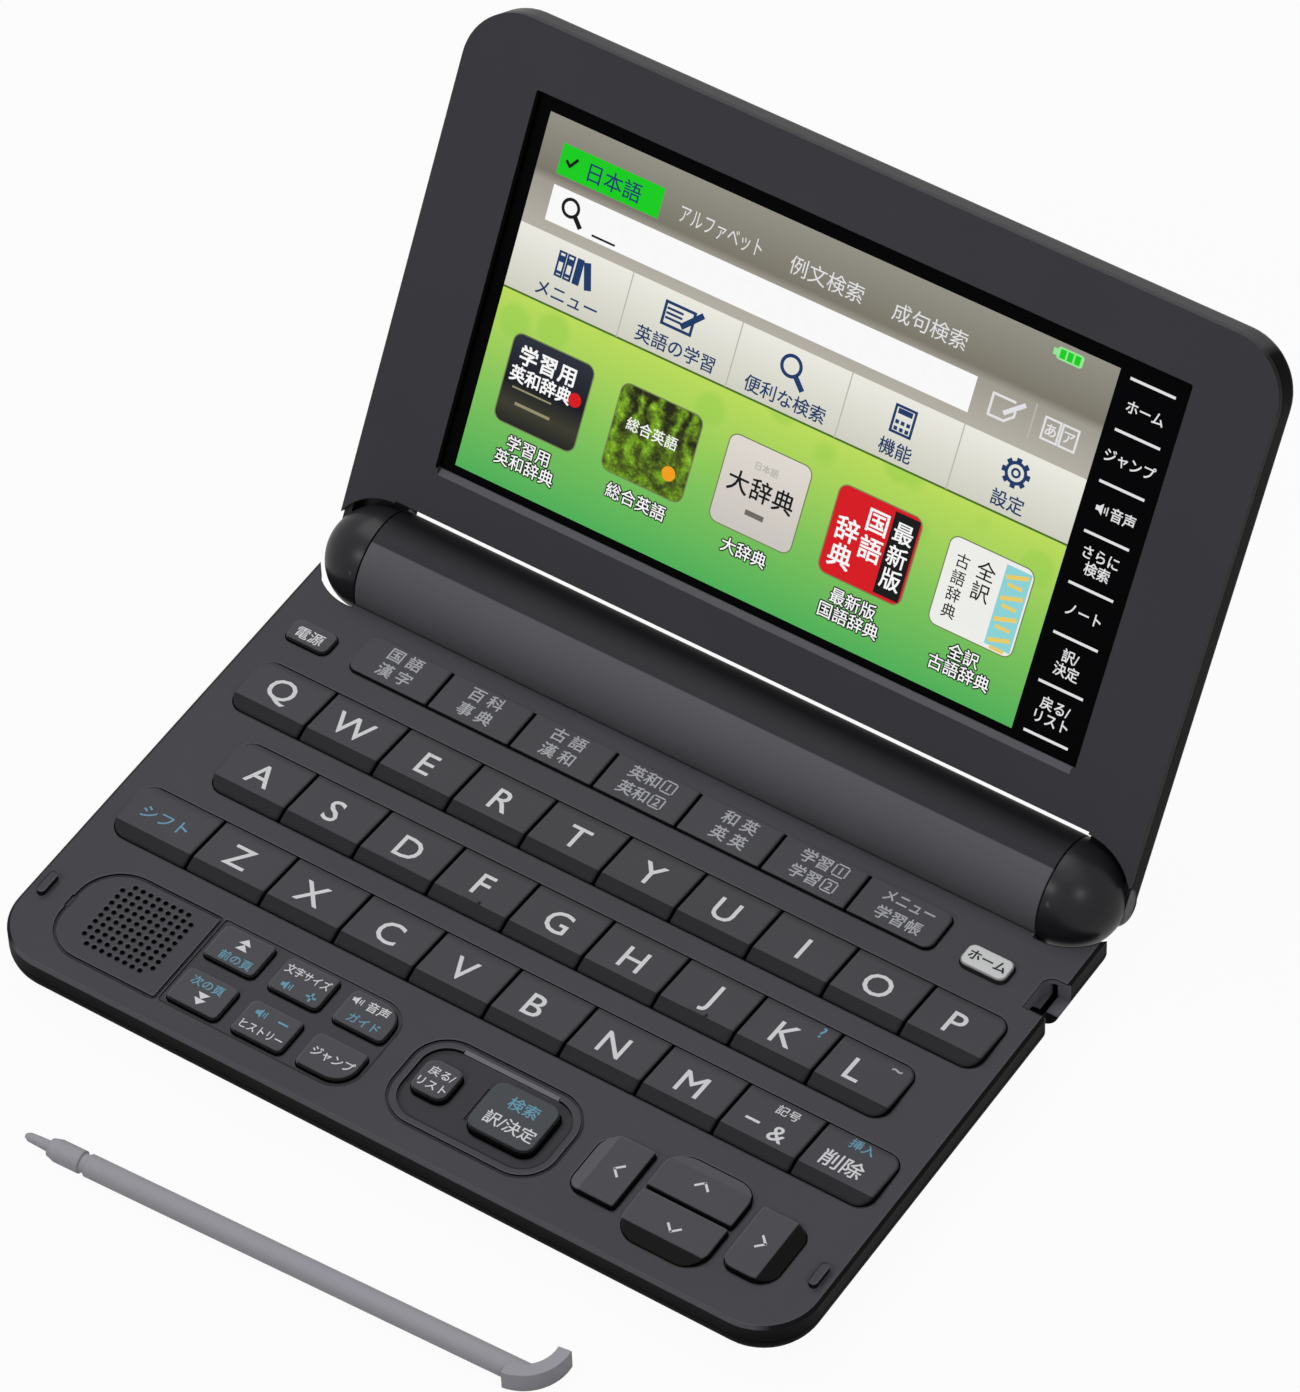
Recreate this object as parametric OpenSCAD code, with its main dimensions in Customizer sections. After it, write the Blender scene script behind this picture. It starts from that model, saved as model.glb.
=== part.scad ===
// Electronic dictionary: a clamshell with a stepped keyboard in the base, a colour
// display in the lid and two cells in the barrel that forms the hinge.
// Millimetres. X runs along the width, Y to the back, Z up. The origin is the centre
// of the flat underside of the lower case.

/* [Case] */
// Width of the case, left to right
case_w = 148; // [134:0.5:162]
// Depth of the case, front edge to the back of the barrel
case_d = 105.5; // [104.5:0.5:115]
// Height of the keyboard deck above the underside
deck_z = 7.7; // [7.5:0.1:9]
// Radius of the case's corners in plan
corner_r = 10; // [8:0.5:12]
// Radius of the rounded lower edge of the base
belly_r = 4.2; // [3.6:0.1:4.4]
// Wall of the lower case and of the deck's rim
wall = 2.2; // [1.8:0.1:2.4]
// Floor of the lower case
floor_t = 1.2; // [1:0.1:1.4]
// Thickness of the keyboard deck
deck_t = 1.3; // [1:0.1:1.4]
// Bevel round the top edge of the deck
deck_bevel = 0.5; // [0.3:0.1:0.8]
// Height of the parting line between lower case and deck
part_z = 4.6; // [4.4:0.1:5]

/* [Barrel and hinge] */
// Radius of the hinge barrel and of its domed ends
barrel_r = 9; // [8.8:0.1:9.4]
// Wall of the barrel round the cells
barrel_wall = 1.4; // [1.2:0.1:1.5]
// Height of the barrel's lowest line above the underside
barrel_lift = 0.1; // [0:0.05:0.3]
// Width of each dome with the lid's arm on it
arm_w = 9.9; // [9.6:0.1:10.4]
// Gap between the fixed barrel and each dome
dome_gap = 0.3; // [0.2:0.05:0.5]
// Gap in plan between the domes and the deck
dome_room = 0.9; // [0.7:0.1:1.2]
// Radius of the hinge pins
pin_r = 2; // [1.6:0.1:2.4]
// How far each hinge pin reaches into its dome
pin_reach = 6; // [4:0.5:6.5]
// Diameter of a cell
cell_d = 14.5; // [13.9:0.1:14.5]
// Length of a cell
cell_l = 50.5; // [49.5:0.1:50.5]

/* [Lid] */
// Opening angle of the lid, 0 is closed
lid_open = 120; // [100:1:140]
// Length of the lid from the hinge axis
lid_l = 95.5; // [86:0.5:96]
// Thickness of the lid
lid_t = 7; // [6.6:0.1:7.6]
// Lower edge of the lid's body from the hinge axis
lid_foot = 10.6; // [10.4:0.1:12]
// Room between the deck and the lid's inner face when closed
lid_room = 1.1; // [1:0.1:1.6]
// Radius of the rounded back edge of the lid
lid_edge_r = 2.5; // [2:0.1:3]
// Wall of the lid's back shell
lid_wall = 1.3; // [1:0.1:1.5]
// Thickness of the bezel round the display
bezel_t = 1.2; // [1:0.1:1.5]
// Bezel beside the display window
bezel_side = 14.3; // [13.5:0.1:18]
// Bezel above the display window
bezel_head = 10.6; // [9.5:0.1:14]
// Lower edge of the window from the hinge axis
window_foot = 18.9; // [18:0.1:20]
// Thickness of the touch panel
touch_t = 1; // [0.8:0.1:1.2]
// Thickness of the display module
lcd_t = 3; // [2.4:0.1:3.2]

/* [Keys] */
// Margin beside the rows of ten letter keys
row_margin = 4; // [4:0.1:6]
// Gap between neighbouring keys of a row
key_gap = 0.55; // [0.4:0.05:0.8]
// Length of a letter key, front to back
key_len = 11.25; // [10.5:0.05:11.6]
// Pitch of the letter rows
row_pitch = 15.6; // [15.3:0.05:15.7]
// Height of the letter keys' front above the deck
key_rise = 0.95; // [0.6:0.05:1]
// Height of the letter keys' back edge above the deck
key_back_rise = 0.1; // [0:0.05:0.4]
// Depth of the sloping front of a letter key
key_skirt = 2.2; // [1.5:0.1:2.6]
// Travel of a key
key_travel = 1; // [0.6:0.1:1]
// Gap between a key and its slot in the deck
key_clear = 0.2; // [0.15:0.05:0.25]
// Catch of a key's flange beyond the key
key_catch = 0.5; // [0.4:0.05:0.6]
// Radius of the outer corners of a row
row_corner = 2.6; // [1.5:0.1:3]

/* [Stylus] */
// Radius of the stylus
stylus_r = 1.9; // [1.6:0.05:1.9]
// Length of the stylus, tip to end tab
stylus_l = 94.5; // [86:0.5:98]
// Radial play of the stylus in its silo
silo_play = 0.05; // [0.02:0.01:0.1]
// Length of the silo
silo_l = 88; // [80:1:90]

/* [Hidden] */
$fn = 64;
eps = 0.01;
fit = 0.1;

half_w = case_w / 2;
front_y = -case_d / 2;
hinge_y = case_d / 2 - barrel_r;
hinge_z = barrel_r + barrel_lift;
arm_in = half_w - arm_w;
barrel_half = arm_in - dome_gap;
dome_x = half_w - barrel_r;
dome_cut_r = barrel_r + dome_room;
deck_under = deck_z - deck_t;
saddle_r = barrel_r + fit;
key_pitch = (case_w - 2 * row_margin) / 10;

// Lower case and what stands in it; the saddle and the cavity end in front of the hinge axis
saddle_front = 3.75;
cavity_front = 10.9;
saddle_back = hinge_y - saddle_front;
cavity_back = hinge_y - cavity_front;
belly_in = corner_r - wall;
boss_r = 2.4;
boss_seat_r = 3.2;
boss_top = part_z - 0.2;
board_z = floor_t + 0.7;
board_t = 1;
board_inset = wall + 0.7;
sheet_z = board_z + board_t + 0.2;
sheet_t = 0.8;
sheet_top = sheet_z + sheet_t;

// Screws between the letter rows and beside the silo
screw_r = 0.8;
screw_head_r = 1.5;
screw_head_t = 1;
screw_room = 0.15;
screw_seat_z = 1.3;
screw_post_r = 1.5;
screw_tip_z = deck_under - 0.4;
screw_slot_l = 1.6;
screw_slot_w = 0.4;
outer_screw_in = 8;
inner_screw_in = 29;
front_screw_y = 25.55;

// Key stack, measured down from the deck
flange_t = 0.4;
flange_z = deck_under - 0.1 - flange_t;
stem_r = 1.3;
stem_z = flange_z - 0.85;
dome_ring_r = 1.9;
dome_ring_in = 1.55;
dome_ring_z = flange_z - key_travel - 0.1;

// Letter rows: each one starts half a pitch further right, counted from the hinge axis
row_shift = 0.65;
row_step = key_pitch / 2 + 0.1;
row1_back = 26;
row1_x = -5 * key_pitch + row_shift;
row2_x = row1_x + row_step;
row3_x = row2_x + row_step;
row1_y = hinge_y - row1_back;
row2_y = row1_y - row_pitch;
row3_y = row2_y - row_pitch;
letter_top = deck_z + key_rise;
shift_w = key_pitch + 1.1;
homing_l = 3;
homing_r = 0.35;

// Row of shortcut keys in front of the barrel, with power and home at its ends
short_n = 7;
short_left = 16.5;
short_right = 21.6;
short_back = 13.05;
short_len = 7.9;
short_corner = 1.6;
short_stem = 2.1;
short_rise = 0.5;
short_pitch = (case_w - short_left - short_right) / short_n;
short_x = -half_w + short_left;
short_y = hinge_y - short_back;
short_top = deck_z + short_rise;
power_in = 4.4;
power_w = 8.1;
power_len = 4.6;
power_back = 16.4;
power_corner = 1.4;
home_in = 8.8;
home_w = 8.2;
home_len = 4.4;
home_back = 16.2;
home_corner = 1.3;
home_top = deck_z + 0.9;
power_box = [
    -half_w + power_in, -half_w + power_in + power_w,
    hinge_y - power_back - power_len, hinge_y - power_back
];
home_box = [
    half_w - home_in - home_w, half_w - home_in,
    hinge_y - home_back - home_len, hinge_y - home_back
];

// Lower cluster: across in key pitches, to the back in millimetres from the front edge
u = key_pitch;
small_w = 0.68 * u;
small_len = 7.1;
small_pitch_x = 0.864 * u;
small_pitch_y = 9.9;
small_x = -3.064 * u;
small_y = front_y + 22.45;
small_top = deck_z + 0.4;
small_corner = 1.1;
small_round = 4;
pocket_depth = 0.3;
pocket_gap = 0.8;
island_box = [-0.307 * u, 1.871 * u, front_y + 4.85, front_y + 22.85];
island_corner = 6.5;
island_rim = 1.7;
island_depth = 0.7;
island_bevel = 0.7;
slit_x = 0.65 * u;
back_box = [-0.093 * u, 0.371 * u, front_y + 10.8, front_y + 17.7];
enter_box = [0.721 * u, 1.579 * u, front_y + 9.1, front_y + 19.5];
enter_top = deck_z + 0.8;
arrow_top = deck_z + key_rise;
arrow_slope = 2.4;
left_box = [2.114 * u, 2.736 * u, front_y + 7.9, front_y + 20];
right_box = [4.1 * u, 4.721 * u, front_y + 7.9, front_y + 20.2];
up_box = [2.871 * u, 3.957 * u, front_y + 14.2, front_y + 22.8];
down_box = [2.871 * u, 3.957 * u, front_y + 4.6, front_y + 13.6];

// Speaker grille
grille_n = 10;
grille_pitch = 1.45;
grille_hole_r = 0.42;
grille_at = [-3.879 * u, front_y + 14.3];
panel_box = [-4.764 * u, -3.143 * u, front_y + 4.2, front_y + 23.2];
panel_corner = 7;
groove_w = 0.45;
groove_depth = 0.4;
speaker_r = 8;
speaker_t = 2.8;
slot_l = 2.4;
slot_w = 0.8;
slot_at = [-4.75 * u, front_y + 13.4];

// Deck bumpers under the lid's side rims
bumper_x = half_w - 2.7;
bumper_y = front_y + 13.9;
bumper_l = 4.6;
bumper_w = 1.5;

// Silo of the stylus, its tab slot and the finger scoop beside it
silo_front = 20.45;
silo_y = hinge_y - silo_front;
silo_z = 2.8;
silo_bore_r = stylus_r + silo_play;
silo_out_r = silo_bore_r + 0.3;
notch_w = 4.1;
notch_in = half_w - notch_w;
tab_slot = [silo_y - 1.9, silo_y + 2];
scoop_y = silo_y + 5.4;
scoop_z = 3.5;
scoop_corner = 2;
notch_wall = 1.2;

// Feet
foot_r = 3.2;
foot_h = 0.6;
foot_seat = 0.5;
foot_play = 0.1;
foot_top = foot_seat - 0.05;
foot_in = 12;
foot_front = 12.5;
foot_x = half_w - foot_in;
foot_y = front_y + foot_front;
rear_foot_in = 5.8;
rear_foot_x = barrel_half - rear_foot_in;
rear_foot_y = hinge_y - 0.1;

// Lid, in its own frame: X as the case, Y along the lid from the hinge axis, Z out of
// the screen side
lid_face = hinge_z - deck_z - lid_room;
lid_back = lid_face - lid_t;
bezel_back = lid_face - bezel_t;
bezel_dome_r = barrel_r + 1.2;
window_r = 0.4;
toe_r = lid_t / 2;
toe_edge = 2;
dome_groove = 2.5;
bezel_chamfer = 1.3;
window_w = case_w - 2 * bezel_side;
window_h = lid_l - window_foot - bezel_head;
layer_gap = 0.05;
touch_z = bezel_back - layer_gap - touch_t;
lcd_z = touch_z - layer_gap - lcd_t;
touch_over = 1.2;
lcd_over = 0.8;

// Barrel bay and its cover, angles in the YZ plane from the back towards up
bay_half = cell_l + 1.5;
bay_r = barrel_r - barrel_wall;
cover_from = -68;
cover_to = 20;
cover_half = bay_half - 0.5;
grip_l = 24;
grip_r = 0.5;
cell_gap = 0.1;
nub_r = 2.7;
nub_l = 1;
pin_head_x = (bay_half + barrel_half) / 2;
pin_head_r = pin_r + 2;
pin_head_t = 2;
pin_play = 0.05;

// Stylus, and where it lies on the surface in front of the case
stylus_x = -48.6;
stylus_out = 23.9;
stylus_at = [stylus_x, front_y - stylus_out, stylus_r - foot_h];
stylus_turn = 2.1;
nib_r = 0.75;
nib_l = 0.8;
tip_r = 0.95;
tip_l = 4.5;
collar_r = 1.5;
collar_l = 1.6;
groove_at = 10.5;
groove_l = 0.8;
groove_in = 0.35;
tab_out_r = 8;
tab_t = 2.2;
tab_set = 5.3;
tab_root = 2.3;
tab_from = -84;
tab_to = 5;

screw_spots = [
    for (side = [-1, 1])
        each [
            [side * (half_w - outer_screw_in), front_y + front_screw_y],
            [side * (half_w - inner_screw_in), row1_y - key_len - 2.15],
            [side * (half_w - outer_screw_in), row1_y + 2.2]
        ]
];

// name, left, right, front, back, top, front skirt, corner radii [fl, fr, br, bl], stem
function cap(name, x0, x1, y0, y1, top, skirt, corners, stem) =
    [name, x0, x1, y0, y1, top, skirt, corners, stem];
function mid_stem(x0, x1, y0, y1) = [(x0 + x1) / 2, (y0 + y1) / 2];
function row_keys(letters, x0, y1) = [
    for (i = [0:len(letters) - 1])
        let (
            left = x0 + i * key_pitch + key_gap / 2,
            right = x0 + (i + 1) * key_pitch - key_gap / 2,
            rl = i == 0 ? row_corner : 0.3,
            rr = i == len(letters) - 1 ? row_corner : 0.3
        )
        cap(str("key_", letters[i]), left, right, y1 - key_len, y1, letter_top,
            key_skirt, [rl, rr, rr, rl], mid_stem(left, right, y1 - key_len, y1))
];
function box_cap(name, b, top, corners, stem) =
    cap(name, b[0], b[1], b[2], b[3], top, 0, corners, stem);
function box_mid(b) = mid_stem(b[0], b[1], b[2], b[3]);
function small_cap(name, col, row, corners) =
    let (
        x0 = small_x + col * small_pitch_x,
        y1 = small_y - row * small_pitch_y
    )
    cap(name, x0, x0 + small_w, y1 - small_len, y1, small_top, 0, corners,
        mid_stem(x0, x0 + small_w, y1 - small_len, y1));

row1 = row_keys(["q", "w", "e", "r", "t", "y", "u", "i", "o", "p"], row1_x, row1_y);
row2 = row_keys(["a", "s", "d", "f", "g", "h", "j", "k", "l"], row2_x, row2_y);
row3_right = row_keys(["z", "x", "c", "v", "b", "n", "m", "symbol", "delete"],
    row3_x, row3_y);
shift_x0 = row3_x + key_gap / 2 - shift_w;
shift_x1 = row3_x - key_gap / 2;
row3 = concat(
    [cap("key_shift", shift_x0, shift_x1, row3_y - key_len, row3_y, letter_top, key_skirt,
        [row_corner + 0.4, 0.3, 0.3, row_corner],
        mid_stem(shift_x0, shift_x1, row3_y - key_len, row3_y))],
    [for (k = row3_right)
        k[0] == "key_z"
            ? cap(k[0], k[1], k[2], k[3], k[4], k[5], k[6], [0.3, 0.3, 0.3, 0.3], k[8])
            : k]
);
c = small_corner;
small_keys = [
    small_cap("key_page_up", 0, 0, [c, c, c, c]),
    small_cap("key_page_down", 0, 1, [c, c, c, c]),
    small_cap("key_text_size", 1, 0, [c, c, c, c]),
    small_cap("key_history", 1, 1, [c, c, c, c]),
    small_cap("key_voice", 2, 0, [c, c, small_round, c]),
    small_cap("key_jump", 2, 1, [c, small_round, c, c])
];
top_keys = [
    box_cap("key_power", power_box, short_top,
        [power_corner, power_corner, power_corner, power_corner], box_mid(power_box)),
    box_cap("key_home", home_box, home_top,
        [home_corner, home_corner, home_corner, home_corner], [])
];
island_keys = [
    box_cap("key_back", back_box, small_top, [1.8, 1.8, 1.8, 1.8], box_mid(back_box)),
    box_cap("key_enter", enter_box, enter_top, [2.2, 2.2, 2.2, 2.2], box_mid(enter_box))
];
arrow_keys = [
    box_cap("key_left", left_box, arrow_top, [2.6, 0.5, 0.5, 3.4], box_mid(left_box)),
    box_cap("key_right", right_box, arrow_top, [2.2, 3.4, 2.4, 0.5], box_mid(right_box)),
    box_cap("key_up", up_box, arrow_top, [0.5, 0.5, 4, 4], box_mid(up_box)),
    box_cap("key_down", down_box, arrow_top, [4, 4, 0.5, 0.5], box_mid(down_box))
];
key_caps = concat(top_keys, row1, row2, row3, small_keys, island_keys, arrow_keys);
short_spots = [
    for (i = [0:short_n - 1]) short_x + (i + 0.5) * short_pitch
];
stem_spots = concat(
    [for (k = key_caps) if (len(k[8]) == 2) k[8]],
    [for (x = short_spots) [x, short_y - short_stem]]
);

case_nodes = [
    "lower_case", "keyboard_deck", "battery_barrel", "battery_cover", "aa_cells",
    "main_board", "key_membrane", "speaker", "hinge_pins", "rubber_feet", "screws",
    "lid_cover", "lid_bezel", "lcd_module", "touch_panel", "stylus", "shortcut_keys"
];

shell_grey = [0.24, 0.24, 0.26];
key_grey = [0.27, 0.27, 0.29];
dark_grey = [0.13, 0.13, 0.14];

// ---- plan shapes ----

// One rounded corner to take away, with its tip at the origin and its bulk towards +X +Y
module corner_waste(r) {
    difference() {
        translate([-1, -1])
            square(r + 1);
        translate([r, r])
            circle(r);
    }
}

// Rectangle with its own radius at each corner: front left, front right, back right, back left
module rounded(x0, x1, y0, y1, r) {
    difference() {
        translate([x0, y0])
            square([x1 - x0, y1 - y0]);
        if (r[0] > 0)
            translate([x0, y0])
                corner_waste(r[0]);
        if (r[1] > 0)
            translate([x1, y0])
                mirror([1, 0])
                    corner_waste(r[1]);
        if (r[2] > 0)
            translate([x1, y1])
                rotate(180)
                    corner_waste(r[2]);
        if (r[3] > 0)
            translate([x0, y1])
                mirror([0, 1])
                    corner_waste(r[3]);
    }
}

module key_plan(k, grow = 0) {
    r = [for (v = k[7]) v + grow];
    rounded(k[1] - grow, k[2] + grow, k[3] - grow, k[4] + grow, r);
}

// Section of a block's edge: rounded below by low_r, cut off above by bevel
module edge_profile(w, h, low_r, bevel) {
    difference() {
        square([w, h]);
        if (low_r > 0)
            translate([w, 0])
                mirror([1, 0])
                    corner_waste(low_r);
        if (bevel > 0)
            translate([w, h])
                rotate(45)
                    square(bevel * sqrt(2), center = true);
    }
}

// Block with two rounded front corners and the same edge section round front and sides
module edged_slab(half, y0, y1, r, h, low_r, bevel = 0) {
    translate([-half + r, 0, 0])
        rotate([90, 0, 90])
            linear_extrude(2 * (half - r))
                translate([y1, 0])
                    mirror([1, 0])
                        edge_profile(y1 - y0, h, low_r, bevel);
    for (side = [0, 1])
        mirror([side, 0, 0])
            translate([half - r, 0, 0]) {
                translate([0, y1, 0])
                    rotate([90, 0, 0])
                        linear_extrude(y1 - y0 - r)
                            edge_profile(r, h, low_r, bevel);
                translate([0, y0 + r, 0])
                    rotate([0, 0, -90])
                        rotate_extrude(angle = 90)
                            edge_profile(r, h, low_r, bevel);
            }
}

module dome_cuts() {
    for (side = [0, 1])
        mirror([side, 0, 0])
            intersection() {
                translate([dome_x, hinge_y, -1])
                    cylinder(h = 20, r = dome_cut_r);
                translate([arm_in - fit, front_y, -2])
                    cube([case_w, 2 * case_d, 30]);
            }
    for (side = [-1, 1])
        translate([side * (dome_x + 15), hinge_y + 15 - dome_room, 9])
            cube([30, 30, 20], center = true);
}

module barrel_rod(r, l) {
    translate([-l / 2, hinge_y, hinge_z])
        rotate([0, 90, 0])
            cylinder(h = l, r = r);
}

module notch_walls(z0, z1) {
    translate([notch_in - notch_wall, tab_slot[0] - notch_wall, z0])
        cube([half_w - belly_r / 2 - notch_in, scoop_y + 2 * notch_wall - tab_slot[0], z1 - z0]);
}

module notch_cut() {
    translate([0, 0, -1])
        linear_extrude(12)
            translate([notch_in, tab_slot[0]])
                square([10, tab_slot[1] - tab_slot[0]]);
    translate([0, 0, scoop_z])
        linear_extrude(12)
            rounded(notch_in, notch_in + 10, tab_slot[0], scoop_y, [0.3, 0, 0, scoop_corner]);
}

module silo_rod(r) {
    translate([notch_in - silo_l, silo_y, silo_z])
        rotate([0, 90, 0])
            cylinder(h = silo_l, r = r);
}

module at_screws() {
    for (p = screw_spots)
        translate(p)
            children();
}

// ---- base ----

module lower_case() {
    color(shell_grey)
    difference() {
        union() {
            difference() {
                edged_slab(half_w, front_y, hinge_y, corner_r, part_z, belly_r);
                translate([0, 0, floor_t])
                    linear_extrude(10)
                        rounded(-half_w + wall, half_w - wall, front_y + wall, cavity_back,
                            [belly_in, belly_in, 0, 0]);
            }
            at_screws() {
                translate([0, 0, floor_t - eps])
                    cylinder(h = board_z - floor_t + eps, r = boss_seat_r);
                translate([0, 0, floor_t - eps])
                    cylinder(h = boss_top - floor_t + eps, r = boss_r);
            }
            intersection() {
                silo_rod(silo_out_r);
                translate([-half_w, front_y, floor_t - eps])
                    cube([case_w, case_d, 10]);
            }
            notch_walls(floor_t - eps, part_z);
        }
        translate([-half_w, saddle_back, -1])
            cube([case_w, 40, 20]);
        dome_cuts();
        barrel_rod(saddle_r, 2 * dome_x);
        notch_cut();
        translate([notch_in - silo_l + 1, silo_y, silo_z])
            rotate([0, 90, 0])
                cylinder(h = silo_l + 10, r = silo_bore_r);
        at_screws() {
            translate([0, 0, -1])
                cylinder(h = 10, r = screw_r + screw_room);
            translate([0, 0, -1])
                cylinder(h = screw_seat_z + 1, r = screw_head_r + screw_room);
        }
        for (side = [-1, 1])
            translate([side * foot_x, foot_y, -1])
                cylinder(h = foot_seat + 1, r = foot_r + foot_play);
    }
}

module row_slot(row) {
    x0 = row[0][1];
    x1 = row[len(row) - 1][2];
    r0 = row[0][7];
    r1 = row[len(row) - 1][7];
    g = key_clear;
    rounded(x0 - g, x1 + g, row[0][3] - g, row[0][4] + g,
        [r0[0] + g, r1[1] + g, r1[2] + g, r0[3] + g]);
}

module short_strip_plan(grow = 0) {
    r = short_corner + grow;
    rounded(short_x + key_gap / 2 - grow, short_x + short_n * short_pitch - key_gap / 2 + grow,
        short_y - short_len - grow, short_y + grow, [r, r, r, r]);
}

module deck_slots() {
    row_slot(row1);
    row_slot(row2);
    row_slot(row3);
    short_strip_plan(key_clear);
    for (k = concat(top_keys, small_keys, island_keys, arrow_keys))
        key_plan(k, key_clear);
}

module ring_groove(b, r) {
    difference() {
        rounded(b[0], b[1], b[2], b[3], r);
        rounded(b[0] + groove_w, b[1] - groove_w, b[2] + groove_w, b[3] - groove_w,
            [for (v = r) max(v - groove_w, 0.3)]);
    }
}

module grille_holes() {
    mid = (grille_n - 1) / 2;
    for (i = [0:grille_n - 1])
        for (j = [0:grille_n - 1])
            if (abs(i - mid) + abs(j - mid) < 2 * mid - 0.5)
                translate([grille_at[0] + (i - mid) * grille_pitch,
                    grille_at[1] + (j - mid) * grille_pitch])
                    circle(grille_hole_r, $fn = 16);
}

module bumper_plan() {
    for (side = [-1, 1])
        translate([side * bumper_x, bumper_y])
            rounded(-bumper_w / 2, bumper_w / 2, -bumper_l / 2, bumper_l / 2,
                [0.7, 0.7, 0.7, 0.7]);
}

module keyboard_deck() {
    pocket = [small_x - pocket_gap, small_x + 2 * small_pitch_x + small_w + pocket_gap,
        small_y - small_pitch_y - small_len - pocket_gap, small_y + pocket_gap];
    color(shell_grey)
    difference() {
        union() {
            difference() {
                translate([0, 0, part_z])
                    edged_slab(half_w, front_y, hinge_y, corner_r, deck_z - part_z, 0,
                        deck_bevel);
                translate([0, 0, part_z - 1])
                    linear_extrude(deck_under - part_z + 1)
                        rounded(-half_w + wall, half_w - wall, front_y + wall, cavity_back,
                            [belly_in, belly_in, 0, 0]);
            }
            at_screws()
                translate([0, 0, part_z])
                    cylinder(h = deck_under - part_z + eps, r = screw_post_r);
            notch_walls(part_z, deck_under + eps);
            translate([0, 0, deck_z - eps])
                linear_extrude(lid_room - 0.05 + eps)
                    bumper_plan();
        }
        dome_cuts();
        barrel_rod(saddle_r, 2 * dome_x);
        notch_cut();
        translate([0, 0, part_z - 1])
            linear_extrude(10)
                deck_slots();
        translate([0, 0, part_z - 1])
            linear_extrude(10)
                grille_holes();
        translate([0, 0, deck_z - pocket_depth])
            linear_extrude(1)
                rounded(pocket[0], pocket[1], pocket[2], pocket[3],
                    [0.5, small_round + pocket_gap, small_round + pocket_gap, 0.5]);
        translate([0, 0, deck_z - groove_depth])
            linear_extrude(1) {
                ring_groove(panel_box, [panel_corner, 0.8, 0.8, panel_corner + 1]);
                ring_groove(island_box, [island_corner, island_corner, island_corner,
                    island_corner]);
                translate(slot_at)
                    square([slot_w, slot_l], center = true);
            }
        translate([0, 0, deck_z - island_depth])
            linear_extrude(2)
                rounded(island_box[0] + island_rim, island_box[1] - island_rim,
                    island_box[2] + island_rim, island_box[3] - island_rim,
                    [for (i = [0:3]) island_corner - island_rim]);
        translate([(island_box[0] + island_box[1]) / 2, island_box[3] - island_rim, deck_z])
            rotate([45, 0, 0])
                cube([island_box[1] - island_box[0] - 2 * island_corner, island_bevel,
                    island_bevel], center = true);
        translate([slit_x, back_box[2], deck_z - island_depth - groove_depth / 2])
            cube([groove_w, back_box[3] - back_box[2], 1]);
        at_screws()
            translate([0, 0, part_z - 1])
                cylinder(h = screw_tip_z + 0.2 - part_z + 1, r = screw_r + 0.05);
        silo_rod(silo_out_r + fit);
    }
}

// Ring sector of the barrel between two angles, in the YZ plane about the hinge axis
module barrel_sector(r_in, r_out, from, to, l) {
    translate([-l / 2, hinge_y, hinge_z])
        rotate([90, 0, 90])
            rotate([0, 0, from])
                rotate_extrude(angle = to - from)
                    translate([r_in, 0])
                        square([r_out - r_in, l]);
}

module battery_barrel() {
    color(shell_grey)
    difference() {
        barrel_rod(barrel_r, 2 * barrel_half);
        barrel_rod(bay_r, 2 * bay_half);
        barrel_sector(bay_r - 1, barrel_r + 1, cover_from - 1, cover_to + 1,
            2 * cover_half + 2 * fit);
        for (side = [-1, 1])
            translate([side * pin_head_x, hinge_y, hinge_z])
                rotate([0, side * 90, 0]) {
                    cylinder(h = pin_head_t + 2 * fit, r = pin_head_r + fit, center = true);
                    cylinder(h = barrel_half, r = pin_r + pin_play);
                }
        for (side = [-1, 1])
            translate([side * rear_foot_x, rear_foot_y, -1])
                cylinder(h = foot_seat + 1, r = foot_r + foot_play);
    }
}

module battery_cover() {
    color(dark_grey)
    difference() {
        barrel_sector(bay_r + 0.1, barrel_r, cover_from, cover_to, 2 * cover_half);
        for (i = [-1:1])
            translate([0, hinge_y, hinge_z])
                rotate([(cover_from + cover_to) / 2 + i * 9, 0, 0])
                    translate([0, barrel_r, 0])
                        rotate([0, 90, 0])
                            cylinder(h = grip_l, r = grip_r, center = true, $fn = 24);
    }
}

module aa_cells() {
    body_l = cell_l - nub_l - 2 * cell_gap;
    for (i = [-1, 0])
        translate([i * cell_l + cell_gap, hinge_y, hinge_z])
            rotate([0, 90, 0]) {
                color("gainsboro")
                    cylinder(h = body_l, r = cell_d / 2);
                color("silver")
                    translate([0, 0, body_l - eps])
                        cylinder(h = nub_l + eps, r = nub_r);
            }
}

module hinge_pins() {
    color("silver")
    for (side = [-1, 1])
        translate([side * pin_head_x, hinge_y, hinge_z])
            rotate([0, side * 90, 0]) {
                cylinder(h = pin_head_t, r = pin_head_r, center = true);
                cylinder(h = arm_in + pin_reach - pin_head_x, r = pin_r);
            }
}

module board_plan(inset) {
    rounded(-half_w + inset, half_w - inset, front_y + inset, short_y + 0.8,
        [corner_r - wall, corner_r - wall, 0.5, 0.5]);
}

module inner_cuts(boss_hole) {
    translate([notch_in - silo_l - 1, silo_y - silo_out_r - 0.3])
        square([silo_l + 20, 2 * silo_out_r + 0.6]);
    translate([notch_in - notch_wall - 0.3, tab_slot[0] - notch_wall - 0.3])
        square([20, scoop_y - tab_slot[0] + 2 * notch_wall + 4]);
    at_screws()
        circle(boss_hole);
}

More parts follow.
